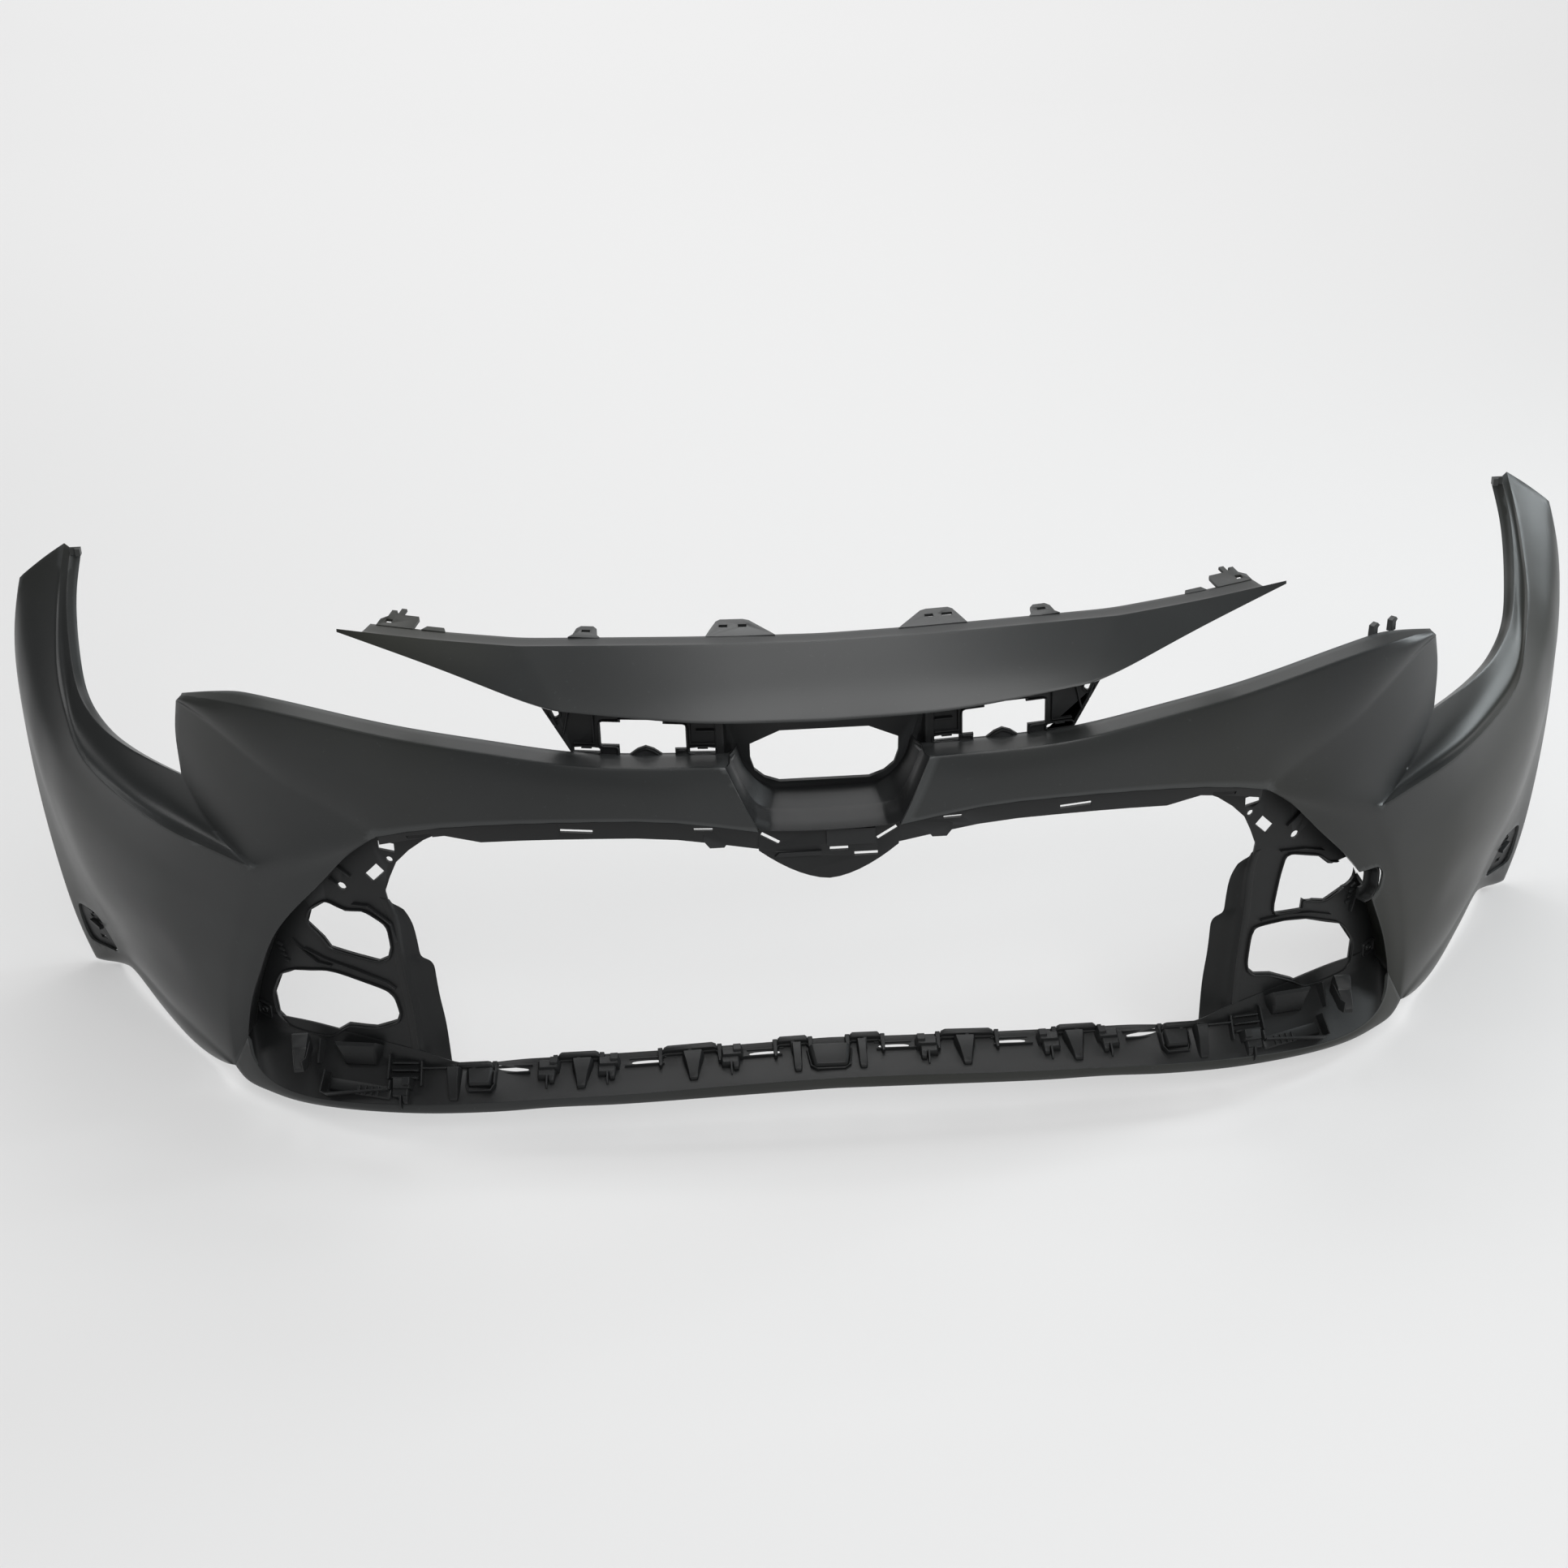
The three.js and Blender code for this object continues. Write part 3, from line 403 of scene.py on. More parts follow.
def moulded(name, dark, light, roughness, spread, grain, tint, edge_wear_and_highlight):
    """Moulded plastic: fine grain, slow flow marks in colour and gloss, pale convex edges that are
    partly wear and partly a painted highlight.
    """
    material = bpy.data.materials.new(name)
    material.use_nodes = True
    tree = material.node_tree
    link = tree.links.new
    shader = tree.nodes["Principled BSDF"]
    shader.inputs["Specular IOR Level"].default_value = PLASTIC_SPECULAR
    shader.inputs["IOR"].default_value = PLASTIC_IOR
    place = node(tree, "ShaderNodeTexCoord").outputs["Object"]
    stretch = node(tree, "ShaderNodeMapping")
    stretch.inputs["Scale"].default_value = FLOW_STRETCH
    link(place, stretch.inputs["Vector"])
    along_flow = stretch.outputs["Vector"]

    colour = moulded_colour(tree, place, along_flow, (dark, light), tint, edge_wear_and_highlight)
    link(colour, shader.inputs["Base Color"])
    gloss = noise(tree, along_flow, Scale=9.0, Detail=4.0, Roughness=0.6)
    gloss = ranged(tree, gloss, target=(roughness - spread, roughness + spread))
    link(gloss, shader.inputs["Roughness"])

    wave = bumped(tree, noise(tree, place, Scale=14.0, Detail=2.0), WAVE, WAVE_DEPTH)
    fine = noise(tree, place, Scale=1500.0, Detail=2.0, Roughness=0.6)
    fine = bumped(tree, fine, grain, GRAIN_DEPTH)
    link(wave.outputs["Normal"], fine.inputs["Normal"])
    link(fine.outputs["Normal"], shader.inputs["Normal"])
    return material


skin_finish = moulded(
    "skin_plastic", dark=(0.0190, 0.0201, 0.0202), light=(0.0265, 0.0281, 0.0284),
    roughness=0.34, spread=0.05, grain=0.16, tint=(0.0205, 0.021, 0.0145), edge_wear_and_highlight=0.3,
)
inner_finish = moulded(
    "inner_plastic", dark=(0.008, 0.0084, 0.0087), light=(0.0125, 0.0132, 0.0137),
    roughness=0.46, spread=0.07, grain=0.35, tint=(0.009, 0.0095, 0.009), edge_wear_and_highlight=0.35,
)

# ------------------------------------------------------------------ key lines, right half

NOSE_STEPS = 10
TIP_STEPS = 7
BAND_STEPS = 14
HORN_STEPS = 10
CHEEK_STEPS = 8
CORNER_STEPS = 14
WING_STEPS = 20
LIP_STEPS = 34

nose_top = smooth([(0, 62, 527), (110, 66, 528), (210, 78, 527), (297, 94, 524)], NOSE_STEPS)
nose_bottom = smooth([(0, 12, 464), (120, 15, 467), (200, 26, 473), (260, 37, 478)], NOSE_STEPS)
tip_top = smooth([(297, 94, 524), (390, 128, 522), (480, 164, 522)], TIP_STEPS)
tip_bottom = smooth([(260, 37, 478), (287, 46, 484), (380, 103, 502), (480, 163, 519)], TIP_STEPS)

band_crease = smooth([
    (100, 6, 423), (239, 24, 423), (340, 50, 431), (420, 80, 435), (470, 107, 436),
], BAND_STEPS)
band_bottom = smooth([
    (70, 2, 352), (160, 8, 365), (250, 22, 363), (324, 41, 355), (400, 68, 340), (456, 95, 320),
], BAND_STEPS)
horn_crease = smooth([
    (470, 107, 436), (541, 148, 438), (590, 181, 436), (630, 218, 428), (662, 252, 418),
], HORN_STEPS)
horn_diagonal = smooth([
    (456, 95, 320), (501, 121, 341), (555, 153, 360), (600, 186, 386), (640, 223, 406),
    (670, 260, 408),
], HORN_STEPS)
lamp_edge = smooth([(670, 260, 408), (677, 267, 370), (678, 269, 317)], CHEEK_STEPS)
lamp_crease = smooth([
    (598, 174, 249), (624, 207, 255), (655, 242, 278), (678, 269, 317),
], HORN_STEPS)
cheek_line = smooth([(456, 95, 320), (527, 130, 286), (598, 174, 249)], CHEEK_STEPS)
recess_edge = smooth([
    (456, 95, 320), (490, 120, 288), (523, 141, 246), (562, 164, 200), (590, 184, 158),
    (612, 203, 105), (630, 220, 55), (640, 230, 8),
], CORNER_STEPS)
corner_line = smooth([
    (598, 174, 249), (625, 197, 190), (645, 218, 125), (658, 234, 65), (664, 242, 10),
    (662, 243, -38),
], CORNER_STEPS)
corner_foot = smooth([(640, 230, 8), (650, 236, -18), (662, 243, -38)], CHEEK_STEPS)
wing_crease = smooth([
    (598, 174, 249), (645, 205, 258), (695, 242, 265), (757, 310, 274), (813, 390, 288),
    (836, 450, 314), (847, 485, 345), (849, 515, 378), (845, 545, 425), (836, 572, 470),
], WING_STEPS)
wing_end = smooth([(836, 572, 470), (868, 591, 446), (902, 604.2, 418)], 3)
arch_side = smooth([
    (902, 604.2, 418), (913, 594, 375), (918, 583, 330),
    (914, 560, 255), (907, 544, 160), (896, 536, 60), (886, 536, -10), (874, 540, -62),
], CORNER_STEPS - 3)
arch_edge = chain(wing_end, arch_side)
wing_foot = smooth([
    (662, 243, -38), (700, 290, -29), (738, 340, -23), (787, 418, -19), (832, 490, -24),
    (874, 540, -62),
], WING_STEPS)
joint_edge = smooth([
    (678, 269, 317), (722, 320, 313), (760, 368, 311), (790, 408, 315), (819, 455, 334),
    (831, 495, 367), (835, 540, 424), (828, 566, 466),
], WING_STEPS)
lip_crease = smooth([
    (640, 230, 8), (636, 217, -16), (618, 197, -29), (588, 171, -31), (538, 138, -24),
    (420, 97, -9), (300, 82, 0), (215, 75, 5), (76, 71, 12), (0, 70, 14),
], LIP_STEPS)
lip_foot = smooth([
    (662, 243, -38), (650, 228, -48), (622, 201, -46), (590, 174, -43), (536, 139, -34),
    (443, 103, -23), (357, 89, -17), (300, 84, -12), (228, 78, -9), (100, 73, -3), (0, 72, 0),
], LIP_STEPS)

# ------------------------------------------------------------------ nose

NOSE_ROWS = 5
NOSE_HALF_TOP, NOSE_HALF_BOTTOM = 297, 260  # where the nose bends into its pointed tips
TIP_REACH = 480
NOSE_CROWN, TIP_CROWN = 3.5, 2.5


def crown_nose(face):
    """Swells the nose face outwards between its upper and lower lines."""
    for row_index, row in enumerate(face):
        t = row_index / NOSE_ROWS
        bend = NOSE_HALF_TOP - (NOSE_HALF_TOP - NOSE_HALF_BOTTOM) * t
        for p in row:
            inside = max(0.0, 1 - (abs(p.x) / bend) ** 4)
            beyond = max(0.0, (TIP_REACH - abs(p.x)) / (TIP_REACH - bend))
            tip = min(1.0, abs(p.x) / bend) ** 4 * min(1.0, beyond) ** 2
            lift = NOSE_CROWN * inside + TIP_CROWN * tip
            p += V(0, -0.74, 0.66) * (lift * 4 * t * (1 - t))


def make_nose():
    half_top = chain(nose_top, tip_top)
    half_bottom = chain(nose_bottom, tip_bottom)
    top = chain(mirrored(half_top), half_top)
    bottom = chain(mirrored(half_bottom), half_bottom)
    face = ruled(top, bottom, NOSE_ROWS)
    crown_nose(face)
    sheet = Sheet()
    sheet.grid(face, (0, -1, 0.8))
    middle = face[0][1:-1]
    rear = [V(p.x * 0.985, p.y + 24, p.z - 2) for p in middle]
    dip = [p.lerp(q, 0.12) + V(0, 0, -0.6) for p, q in zip(middle, rear)]
    sheet.grid([rear, dip, middle], (0, 0, 1))
    lower = face[-1][TIP_STEPS:-TIP_STEPS]
    turned = [p + V(0, 5, 0.5) for p in lower]
    back = [V(p.x, plan(p.x) + PANEL_DEPTH - PANEL_GAP, p.z + 3) for p in lower]
    sheet.grid([lower, turned, back], (0, 0, -1))
    sheet.crease(face[0], 0.75, False)
    sheet.crease(face[-1], 0.75, False)
    columns = list(zip(*face))
    centre = len(half_top) - 1
    for side in (-1, 1):
        sheet.crease(columns[centre + side * NOSE_STEPS], 0.9, False)
    nodes = ["nose_panel", "nose_flange", "nose_underside"] + pairs("nose_tip")
    obj = piece("nose_skin", sheet.mesh("nose_skin"), skin_finish, nodes)
    subdivided(obj)
    thickened(obj)
    bevelled(obj, SKIN_EDGE, SKIN_EDGE_ANGLE)


# ------------------------------------------------------------------ front skin

TOP_REACH = 26  # how far the shelf on top of the band reaches back
PANEL_HALF = 262  # inside this, the shelf reaches the upper grille panel
SHELF_OVERHANG = 12  # the shelf's inner end passes over the emblem funnel
BAND_ROWS, BAND_BOW = 5, 5


def band_rows():
    crease = chain(band_crease, horn_crease)
    foot = chain(band_bottom, horn_diagonal)
    back = []
    for i, p in enumerate(crease):
        inner = p.x < PANEL_HALF
        reach = plan(p.x) + PANEL_DEPTH - PANEL_GAP - p.y if inner else TOP_REACH
        left = len(crease) - 1 - i
        reach *= min(1.0, 0.2 + 0.2 * left)
        overhang = SHELF_OVERHANG if i == 0 else 0
        rise = -3 if inner else 3 * min(1.0, left / 4)
        back.append(V(p.x - overhang, p.y + reach, p.z + rise))
    near = [p.lerp(q, 0.2) for p, q in zip(crease, back)]
    face = ruled(crease, foot, BAND_ROWS, BAND_BOW, (0.1, -1, 0.2))
    return back, near, face


HOLLOW_ENDS = V(850, 480, 30), V(700, 285, 90)
HOLLOW_RADIUS = 60
HOLLOW_DEPTH = V(-0.75, 0.66, 0) * 5


def hollow(p):
    """The shallow hollow that runs over the wing from the clip pocket to the corner."""
    a, b = HOLLOW_ENDS
    along = max(0.0, min(1.0, (p - a).dot(b - a) / (b - a).length_squared))
    reach = (p - a.lerp(b, along)).length
    return max(0.0, 1 - (reach / HOLLOW_RADIUS) ** 2) ** 2 * (1 - abs(2 * along - 1) ** 4)


def add_upper_front(sheet):
    """The band, the horn and its cheek, the corner and the wing."""
    back, near, face = band_rows()
    sheet.grid([back, near] + face, (0.4, -1, 0.4), True)
    sheet.crease(face[0], 0.9)
    sheet.crease(face[-1][:BAND_STEPS + 1], 0.8)
    sheet.crease(face[-1][BAND_STEPS:], 0.75)
    sheet.grid(filled(horn_diagonal, lamp_crease, cheek_line, lamp_edge), (1, -1, 0), True)
    sheet.crease(lamp_edge, 0.8)
    sheet.grid(filled(cheek_line, corner_foot, recess_edge, corner_line), (1, -1, 0), True)
    wing = filled(wing_crease, wing_foot, corner_line, arch_edge)
    for row in wing[1:-1]:
        for p in row[1:-1]:
            p += HOLLOW_DEPTH * hollow(p)
    sheet.grid(wing, (1, -1, 0), True)
    sheet.crease(wing_crease, 1.0)
    sheet.crease(lamp_crease, 1.0)
    sheet.crease(wing_foot, 0.5)


def add_returns(sheet):
    """The fender shelf and flange, the turned-in foot, the lip and the recess wall."""
    tail = ruled([joint_edge[-1]], [wing_crease[-1]], HORN_STEPS)
    lamp_line = list(reversed(lamp_crease))
    shelf = filled(joint_edge, wing_crease, lamp_line, [row[0] for row in tail])
    sheet.grid(shelf, (0.3, -1, 1), True)
    flange = [V(p.x - 10, p.y + 4, p.z - 7) for p in joint_edge]
    sheet.grid([flange, joint_edge], (-0.3, -0.2, 1), True)
    sheet.crease(joint_edge, 0.6)
    under = smooth([
        (662, 245, -42), (696, 292, -56), (728, 336, -58), (776, 412, -52), (814, 480, -47),
        (842, 530, -64),
    ], WING_STEPS)
    under = [wing_foot[0]] + under[1:]
    sheet.grid(ruled(wing_foot, under, 2, 3, (1, -1, 0)), (1, -1, -1), True)
    sheet.grid(ruled(lip_crease, lip_foot, 3, 1.5), (0, -1, -0.3), True)
    for p in (wing_end[-1], wing_end[0], arch_side[-1], lamp_edge[-1]):
        sheet.corner(p)
    sheet.crease(lip_crease, 0.7)
    sheet.grid(recess_rows(), (-1, 0, 0), True)
    sheet.crease(recess_edge, 0.35)


def recess_rows():
    """The wall that runs back from the corner to the fog lamp panel."""
    back = [V(p.x - 6, plan(p.x - 6) + FOG_DEPTH + 2.5, p.z) for p in recess_edge]
    shares = (0, 0.14, 0.5, 1)
    return [[p.lerp(q, share) for p, q in zip(recess_edge, back)] for share in shares]


def make_front():
    sheet = Sheet()
    add_upper_front(sheet)
    add_returns(sheet)
    nodes = pairs(
        "band", "horn_cheek", "corner_skin", "wing_skin", "wing_shelf", "fender_flange",
        "foot_return", "lip_end", "recess_wall",
    ) + ["lip_middle"]
    obj = piece("front_skin", sheet.mesh("front_skin"), skin_finish, nodes)
    subdivided(obj)
    thickened(obj)
    bake(obj)
    for side in (1, -1):
        cut(obj, pocket_cutter(side))
    cut(obj, notch_cutter(NOTCH_SKIN, SKIN_CUT))
    bevelled(obj, SKIN_EDGE, SKIN_EDGE_ANGLE)


POCKET_OUTLINE = [(-29, -30), (26, -30), (29, -10), (24, 30), (-22, 30), (-30, 12)]
POCKET_PLACE = V(862, 505, 0)
POCKET_TURN = 0.95
POCKET_REACH = 22


def pocket_cutter(side):
    """The rounded opening over the clip pocket at the foot of the wheel arch edge."""
    loop = rounded_loop(POCKET_OUTLINE)
    turn = Matrix.Rotation(POCKET_TURN, 3, "Z")
    rings = []
    for y in (-POCKET_REACH, POCKET_REACH):
        ring = [turn @ V(a, y, b) + POCKET_PLACE for a, b in loop]
        rings.append([V(side * p.x, p.y, p.z) for p in ring])
    made = Solids()
    made.loft(rings)
    return made.mesh("pocket_cutter")


# The notch beside the right fog lamp, drawn as (along the skin, up) round its own centre.
NOTCH = [(-16, -22), (18, -25), (27, -14), (28, 8), (18, 20), (-16, 19)]
NOTCH_SKIN = [(-60, -22)] + NOTCH + [(-60, 19)]
NOTCH_PANEL = [(-60, -16), (24, -18), (24, 20), (-60, 20)]
NOTCH_PLACE = (590, 184, 149)
NOTCH_HEADING = (0.85, 0.53)
SKIN_CUT = (-60, 25)
PANEL_CUT = (-70, 60)


def notch_ring(loop, depth):
    """The loop's points in the corner skin, moved out of it by the depth."""
    x, y, z = NOTCH_PLACE
    c, s = NOTCH_HEADING
    return [V(x + c * a + s * depth, y + s * a - c * depth, z + b) for a, b in loop]


def notch_cutter(outline, depths):
    loop = rounded_loop(outline)
    made = Solids()
    made.loft([notch_ring(loop, depth) for depth in depths])
    return made.mesh("notch_cutter")


def make_notch_rim():
    """The dark wall that lines the notch, set a little below the skin."""
    loop = rounded_loop(NOTCH)
    per_corner = len(loop) // len(NOTCH)
    loop = loop[per_corner:-per_corner]  # the side towards the fog lamp is open
    inner = [(a * 0.72 + 3, b * 0.72) for a, b in loop]
    outwards = V(NOTCH_HEADING[1], -NOTCH_HEADING[0], 0)
    made = Solids()
    made.bead(notch_ring(loop, -4), lambda p: outwards, 3.0, 1.5, sink=12)
    made.bead(notch_ring(inner, -14), lambda p: outwards, 11.0, 1.5, sink=2)
    moulding(made, "notch_rim", INNER_EDGE)


# ------------------------------------------------------------------ pieces carried from the CAD

SAME_VERTEX = 2e-6
FLAT_ANGLE = 0.6
MOST_SHELL = 2.0  # keeps the welding move short at sharp corners

SKIN_SOLIDS = pairs("double_tab", "single_tab", "locating_bump", "lamp_bracket", "wing_hook")
SKIN_SOLIDS += ["horn_lug_inner", "horn_lug_outer"]
INNER_SOLIDS = pairs("upper_grille_panel") + ["emblem_seat", "emblem_chin"]
INNER_SOLIDS += pairs("band_flange", "arch_pocket", "fog_panel")


def carried(node_name, material):
    """A rounded copy of a CAD solid: coplanar facets merged, edges bevelled, curves smooth."""
    bm = bmesh.new()
    bm.from_mesh(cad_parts[node_name].data)
    bmesh.ops.remove_doubles(bm, verts=bm.verts, dist=SAME_VERTEX)
    bmesh.ops.dissolve_limit(
        bm, angle_limit=math.radians(FLAT_ANGLE), verts=bm.verts, edges=bm.edges,
        use_dissolve_boundaries=False,
    )
    bmesh.ops.recalc_face_normals(bm, faces=bm.faces)
    bm.normal_update()
    moves = [v.normal * (WELD * min(v.calc_shell_factor(), MOST_SHELL)) for v in bm.verts]
    for vert, move in zip(bm.verts, moves):
        vert.co += move
    name = node_name + "_moulding"
    mesh = bpy.data.meshes.new(name)
    bm.to_mesh(mesh)
    bm.free()
    mesh.materials.clear()
    sharpened(mesh, CARRIED_EDGE_ANGLE)
    obj = piece(name, mesh, material, [node_name])
    bevelled(obj, CARRIED_EDGE, CARRIED_EDGE_ANGLE)
    return obj


def make_carried():
    for name in SKIN_SOLIDS:
        carried(name, skin_finish)
    for name in INNER_SOLIDS:
        obj = carried(name, inner_finish)
        if name == "fog_panel_right":
            cut(obj, notch_cutter(NOTCH_PANEL, PANEL_CUT))


# ------------------------------------------------------------------ emblem funnel

# Each row of the funnel's wall: its share of the way back, its shift inwards, its shift back.
FUNNEL_ROWS = (
    (0, 0, 0), (0.07, 1.5, -1.5), (0.16, 3, 3), (0.3, 1, 5), (0.44, 0, 4),
    (0.52, -2, 1), (0.6, -1, 1), (0.8, 0, 1), (1, 0, 0),
)
FUNNEL_STEPS = 12
CHEEK_END, FLOOR_START = 9, 12  # columns at the ends of the slanting corner


def funnel_row(front, rear, share, inwards, backwards):
    row = []
    for i, (p, q) in enumerate(zip(front, rear)):
        fade = 1 if i < FUNNEL_STEPS else 0.35
        point = p.lerp(q, share)
        if i <= CHEEK_END:
            across = V(-1, 0, 0)
        else:
            across = V(-0.7, 0, 0.7) if i <= FLOOR_START else V(0, 0, 1)
        point = point + across * inwards * fade + V(0, 1, 0) * backwards * 0.4 * fade
        row.append(point)
    return row


def make_funnel():
    """The hollow between the ends of the band: ridged edge, channel, slanting cheeks and floor."""
    front = smooth([(100, 6, 423), (86, 4, 390), (73, 3, 357), (58, 10, 349)], FUNNEL_STEPS)
    rear = smooth([(86, 54.9, 424), (80, 63.1, 398), (67, 69.5, 377), (50, 73.5, 364)], FUNNEL_STEPS)
    front = chain(front, [front[-1], V(30, 9, 348), V(0, 8, 348)])
    rear = chain(rear, [rear[-1], V(26, 73.8, 363), V(0, 73.8, 363)])
    rows = [funnel_row(front, rear, *station) for station in FUNNEL_ROWS]
    whole = [chain(row, mirrored(row)) for row in rows]
    sheet = Sheet()
    sheet.grid(whole, (0, -0.6, 1))
    for i, weight in ((0, 0.7), (2, 0.3), (5, 0.5)):
        sheet.crease(whole[i], weight, False)
    columns = list(zip(*whole))
    last = len(columns) - 1
    for i in (CHEEK_END, FLOOR_START, last - CHEEK_END, last - FLOOR_START):
        sheet.crease(columns[i], 0.45, False)
    obj = piece("emblem_funnel", sheet.mesh("emblem_funnel"), inner_finish,
                ["emblem_floor"] + pairs("emblem_cheek"))
    subdivided(obj)
    thickened(obj, FUNNEL_WALL)
    bevelled(obj, INNER_EDGE, 60)


def make_jambs():
    """The narrow walls that join the emblem seat to the upper grille panels."""
    sheet = Sheet()
    rows = []
    for z in (414, 424, 440, 456, 474):
        seat = 45.2 + (470 - z) * math.tan(0.29)
        rows.append([
            V(108, 43.2, z), V(101, 43.2, z), V(98.5, 44.0, z), V(97, min(seat, 55) - 0.8, z),
            V(88, seat - 0.9, z),
        ])
    sheet.grid(rows, (-0.3, -1, 0), True)
    obj = piece("emblem_jambs", sheet.mesh("emblem_jambs"), inner_finish)
    subdivided(obj)
    thickened(obj, JAMB_WALL)


# ------------------------------------------------------------------ grille column

COLUMN_STEPS = 20


def make_column(side, name):
    """The wall beside the lower grille: it turns round from the fog lamp panel and runs back."""
    front = smooth([
        (457, 144, 222), (451, 141, 204), (448, 139, 150), (442, 135, 90), (439, 134, 6),
    ], COLUMN_STEPS)
    back = smooth([
        (443, 148, 204), (436, 152, 188), (431, 152, 149), (430, 152, 141), (418, 152, 139),
        (417, 152, 128), (415, 152, 96), (411, 152, 60), (409, 152, 6),
    ], COLUMN_STEPS)
    edge = [V(p.x + 9, plan(p.x + 9) + FOG_DEPTH - 0.6, p.z) for p in front]
    turn = [V(p.x + 1.5, plan(p.x + 1.5) + FOG_DEPTH - 0.8, p.z) for p in front]
    rows = [edge, turn, [p.lerp(q, 0.06) for p, q in zip(front, back)]]
    rows += ruled(front, back, 5, -2, (-1, -0.6, 0))[1:]
    for p in rows[4]:
        p += V(0.8, -1.6, 0)
    rows = [[V(side * p.x, p.y, p.z) for p in row] for row in rows]
    sheet = Sheet()
    sheet.grid(rows, (-0.3 * side, -1, 0))
    sheet.crease(rows[1], 0.3, False)
    sheet.crease(rows[-1], 0.8, False)
    hand = "right" if side > 0 else "left"
    obj = piece(name, sheet.mesh(name), inner_finish,
                [f"grille_column_{hand}", f"grille_stop_{hand}"])
    subdivided(obj)
    thickened(obj)
    bevelled(obj, COLUMN_EDGE, 60)


# ------------------------------------------------------------------ beads, rims and ribs

class Solids:
    """Small closed solids of one moulding, in drawing millimetres."""

    def __init__(self):
        self.points = []
        self.faces = []

    def loft(self, rings, closed=False):
        """Joins equal rings of points; an open row of rings is capped at both ends."""
        start = len(self.points)
        size = len(rings[0])
        for ring in rings:
            self.points += [Vector(p) for p in ring]
        count = len(rings)
        for r in range(count if closed else count - 1):
            a, b = start + r * size, start + ((r + 1) % count) * size
            for i in range(size):
                j = (i + 1) % size
                self.faces.append([a + i, a + j, b + j, b + i])
        if not closed:
            self.faces.append([start + i for i in reversed(range(size))])
            self.faces.append([start + (count - 1) * size + i for i in range(size)])

    def bead(self, path, normal, width, height, closed=False, sink=1.5):
        """A rounded bead along a path; normal(p) is the way it stands up."""
        profile = [(-0.5, -sink), (-0.5, height * 0.6), (-0.28, height), (0.28, height),
                   (0.5, height * 0.6), (0.5, -sink)]
        rings = []
        last = len(path) - 1
        for i, p in enumerate(path):
            if closed:
                along = path[(i + 1) % len(path)] - path[i - 1]
            else:
                along = path[min(i + 1, last)] - path[max(i - 1, 0)]
            up = normal(p).normalized()
            side = along.normalized().cross(up).normalized()
            rings.append([p + side * a * width + up * b for a, b in profile])
        self.loft(rings, closed)

    def mesh(self, name):
        bm = bmesh.new()
        made = [bm.verts.new(at(p)) for p in self.points]
        for face in self.faces:
            bm.faces.new([made[i] for i in face])
        bmesh.ops.recalc_face_normals(bm, faces=bm.faces)
        mesh = bpy.data.meshes.new(name)
        bm.to_mesh(mesh)
        bm.free()
        return mesh


def plan_normal(p):
    """The way out of the front of the cover, square to the plan line."""
    slope = (plan(abs(p.x) + 5) - plan(abs(p.x) - 5)) / 10
    return V(slope * (1 if p.x > 0 else -1), -1, 0)


def rounded_loop(points, steps=4, reach=0.3):
    """A closed outline with its corners rounded off."""
    out = []
    count = len(points)
    for i in range(count):
        a, b, c = Vector(points[i - 1]), Vector(points[i]), Vector(points[(i + 1) % count])
        p, q = b.lerp(a, reach), b.lerp(c, reach)
        for s in range(steps + 1):
            t = s / steps
            out.append(p.lerp(b, t).lerp(b.lerp(q, t), t))
    return out


def moulding(solids, name, width, angle=25):
    """One inner piece made of the small solids, with rounded edges."""
    mesh = solids.mesh(name)
    sharpened(mesh, 50)
    obj = piece(name, mesh, inner_finish)
    bevelled(obj, width, angle)
    return obj


# Outlines of the openings in the fog lamp panels, as (x, z).
LAMP_LEFT = [
    (528, 201), (507, 195), (485, 200), (462, 189), (460, 163), (464, 149), (474, 142), (511, 143),
    (528, 144), (535, 154), (552, 168), (546, 186),
]
GRILLE_LEFT = [
    (576, 100), (531, 114), (470, 107), (462, 100), (458, 81), (462, 70), (486, 56), (518, 50),
    (528, 41), (543, 28), (588, 24), (602, 34), (604, 60), (592, 89),
]
LAMP_RIGHT = [
    (498, 205), (540, 186), (553, 172), (566, 166), (576, 160), (584, 148), (573, 143), (574, 131),
    (551, 126), (522, 139), (521, 127), (484, 136), (492, 181),
]
GRILLE_RIGHT = [
    (464, 127), (501, 121), (529, 112), (575, 86), (594, 54), (592, 28), (584, 22), (533, 26),
    (514, 42), (487, 60), (466, 68), (459, 76), (457, 88), (460, 118),
]


def grown(loop, amount):
    """An outline moved outwards by an amount."""
    count = len(loop)
    area = sum(loop[i - 1][0] * loop[i][1] - loop[i][0] * loop[i - 1][1] for i in range(count))
    turn = 1 if area > 0 else -1
    out = []
    for i in range(count):
        a, b, c = Vector(loop[i - 1]), Vector(loop[i]), Vector(loop[(i + 1) % count])
        n = Vector((0, 0))
        for p, q in ((a, b), (b, c)):
            d = (q - p).normalized()
            n += Vector((d.y, -d.x)) * turn
        out.append(b + n.normalized() * amount)
    return out


def path_on_panel(points, side, depth=FOG_DEPTH):
    return [V(side * x, plan(x) + depth, z) for x, z in points]


def circle(x, z, radius, count):
    turns = [i * math.tau / count for i in range(count)]
    return [(x + radius * math.cos(a), z + radius * math.sin(a)) for a in turns]


def fog_bars(side):
    """The flange over the upper opening, and the straight bars of the panel."""
    if side < 0:
        return [(497, 207), (480, 209), (455, 193), (452, 172)], [
            [(560, 134), (535, 128), (500, 124), (468, 118), (459, 112)],
            [(574, 140), (556, 127), (545, 121), (530, 121)],
            [(512, 252), (496, 240)], [(520, 232), (512, 226)],
        ]
    return [(490, 212), (520, 204), (545, 192)], [
        [(470, 134), (500, 130), (533, 119), (560, 105)],
        [(512, 252), (496, 240)], [(595, 120), (588, 96)],
    ]


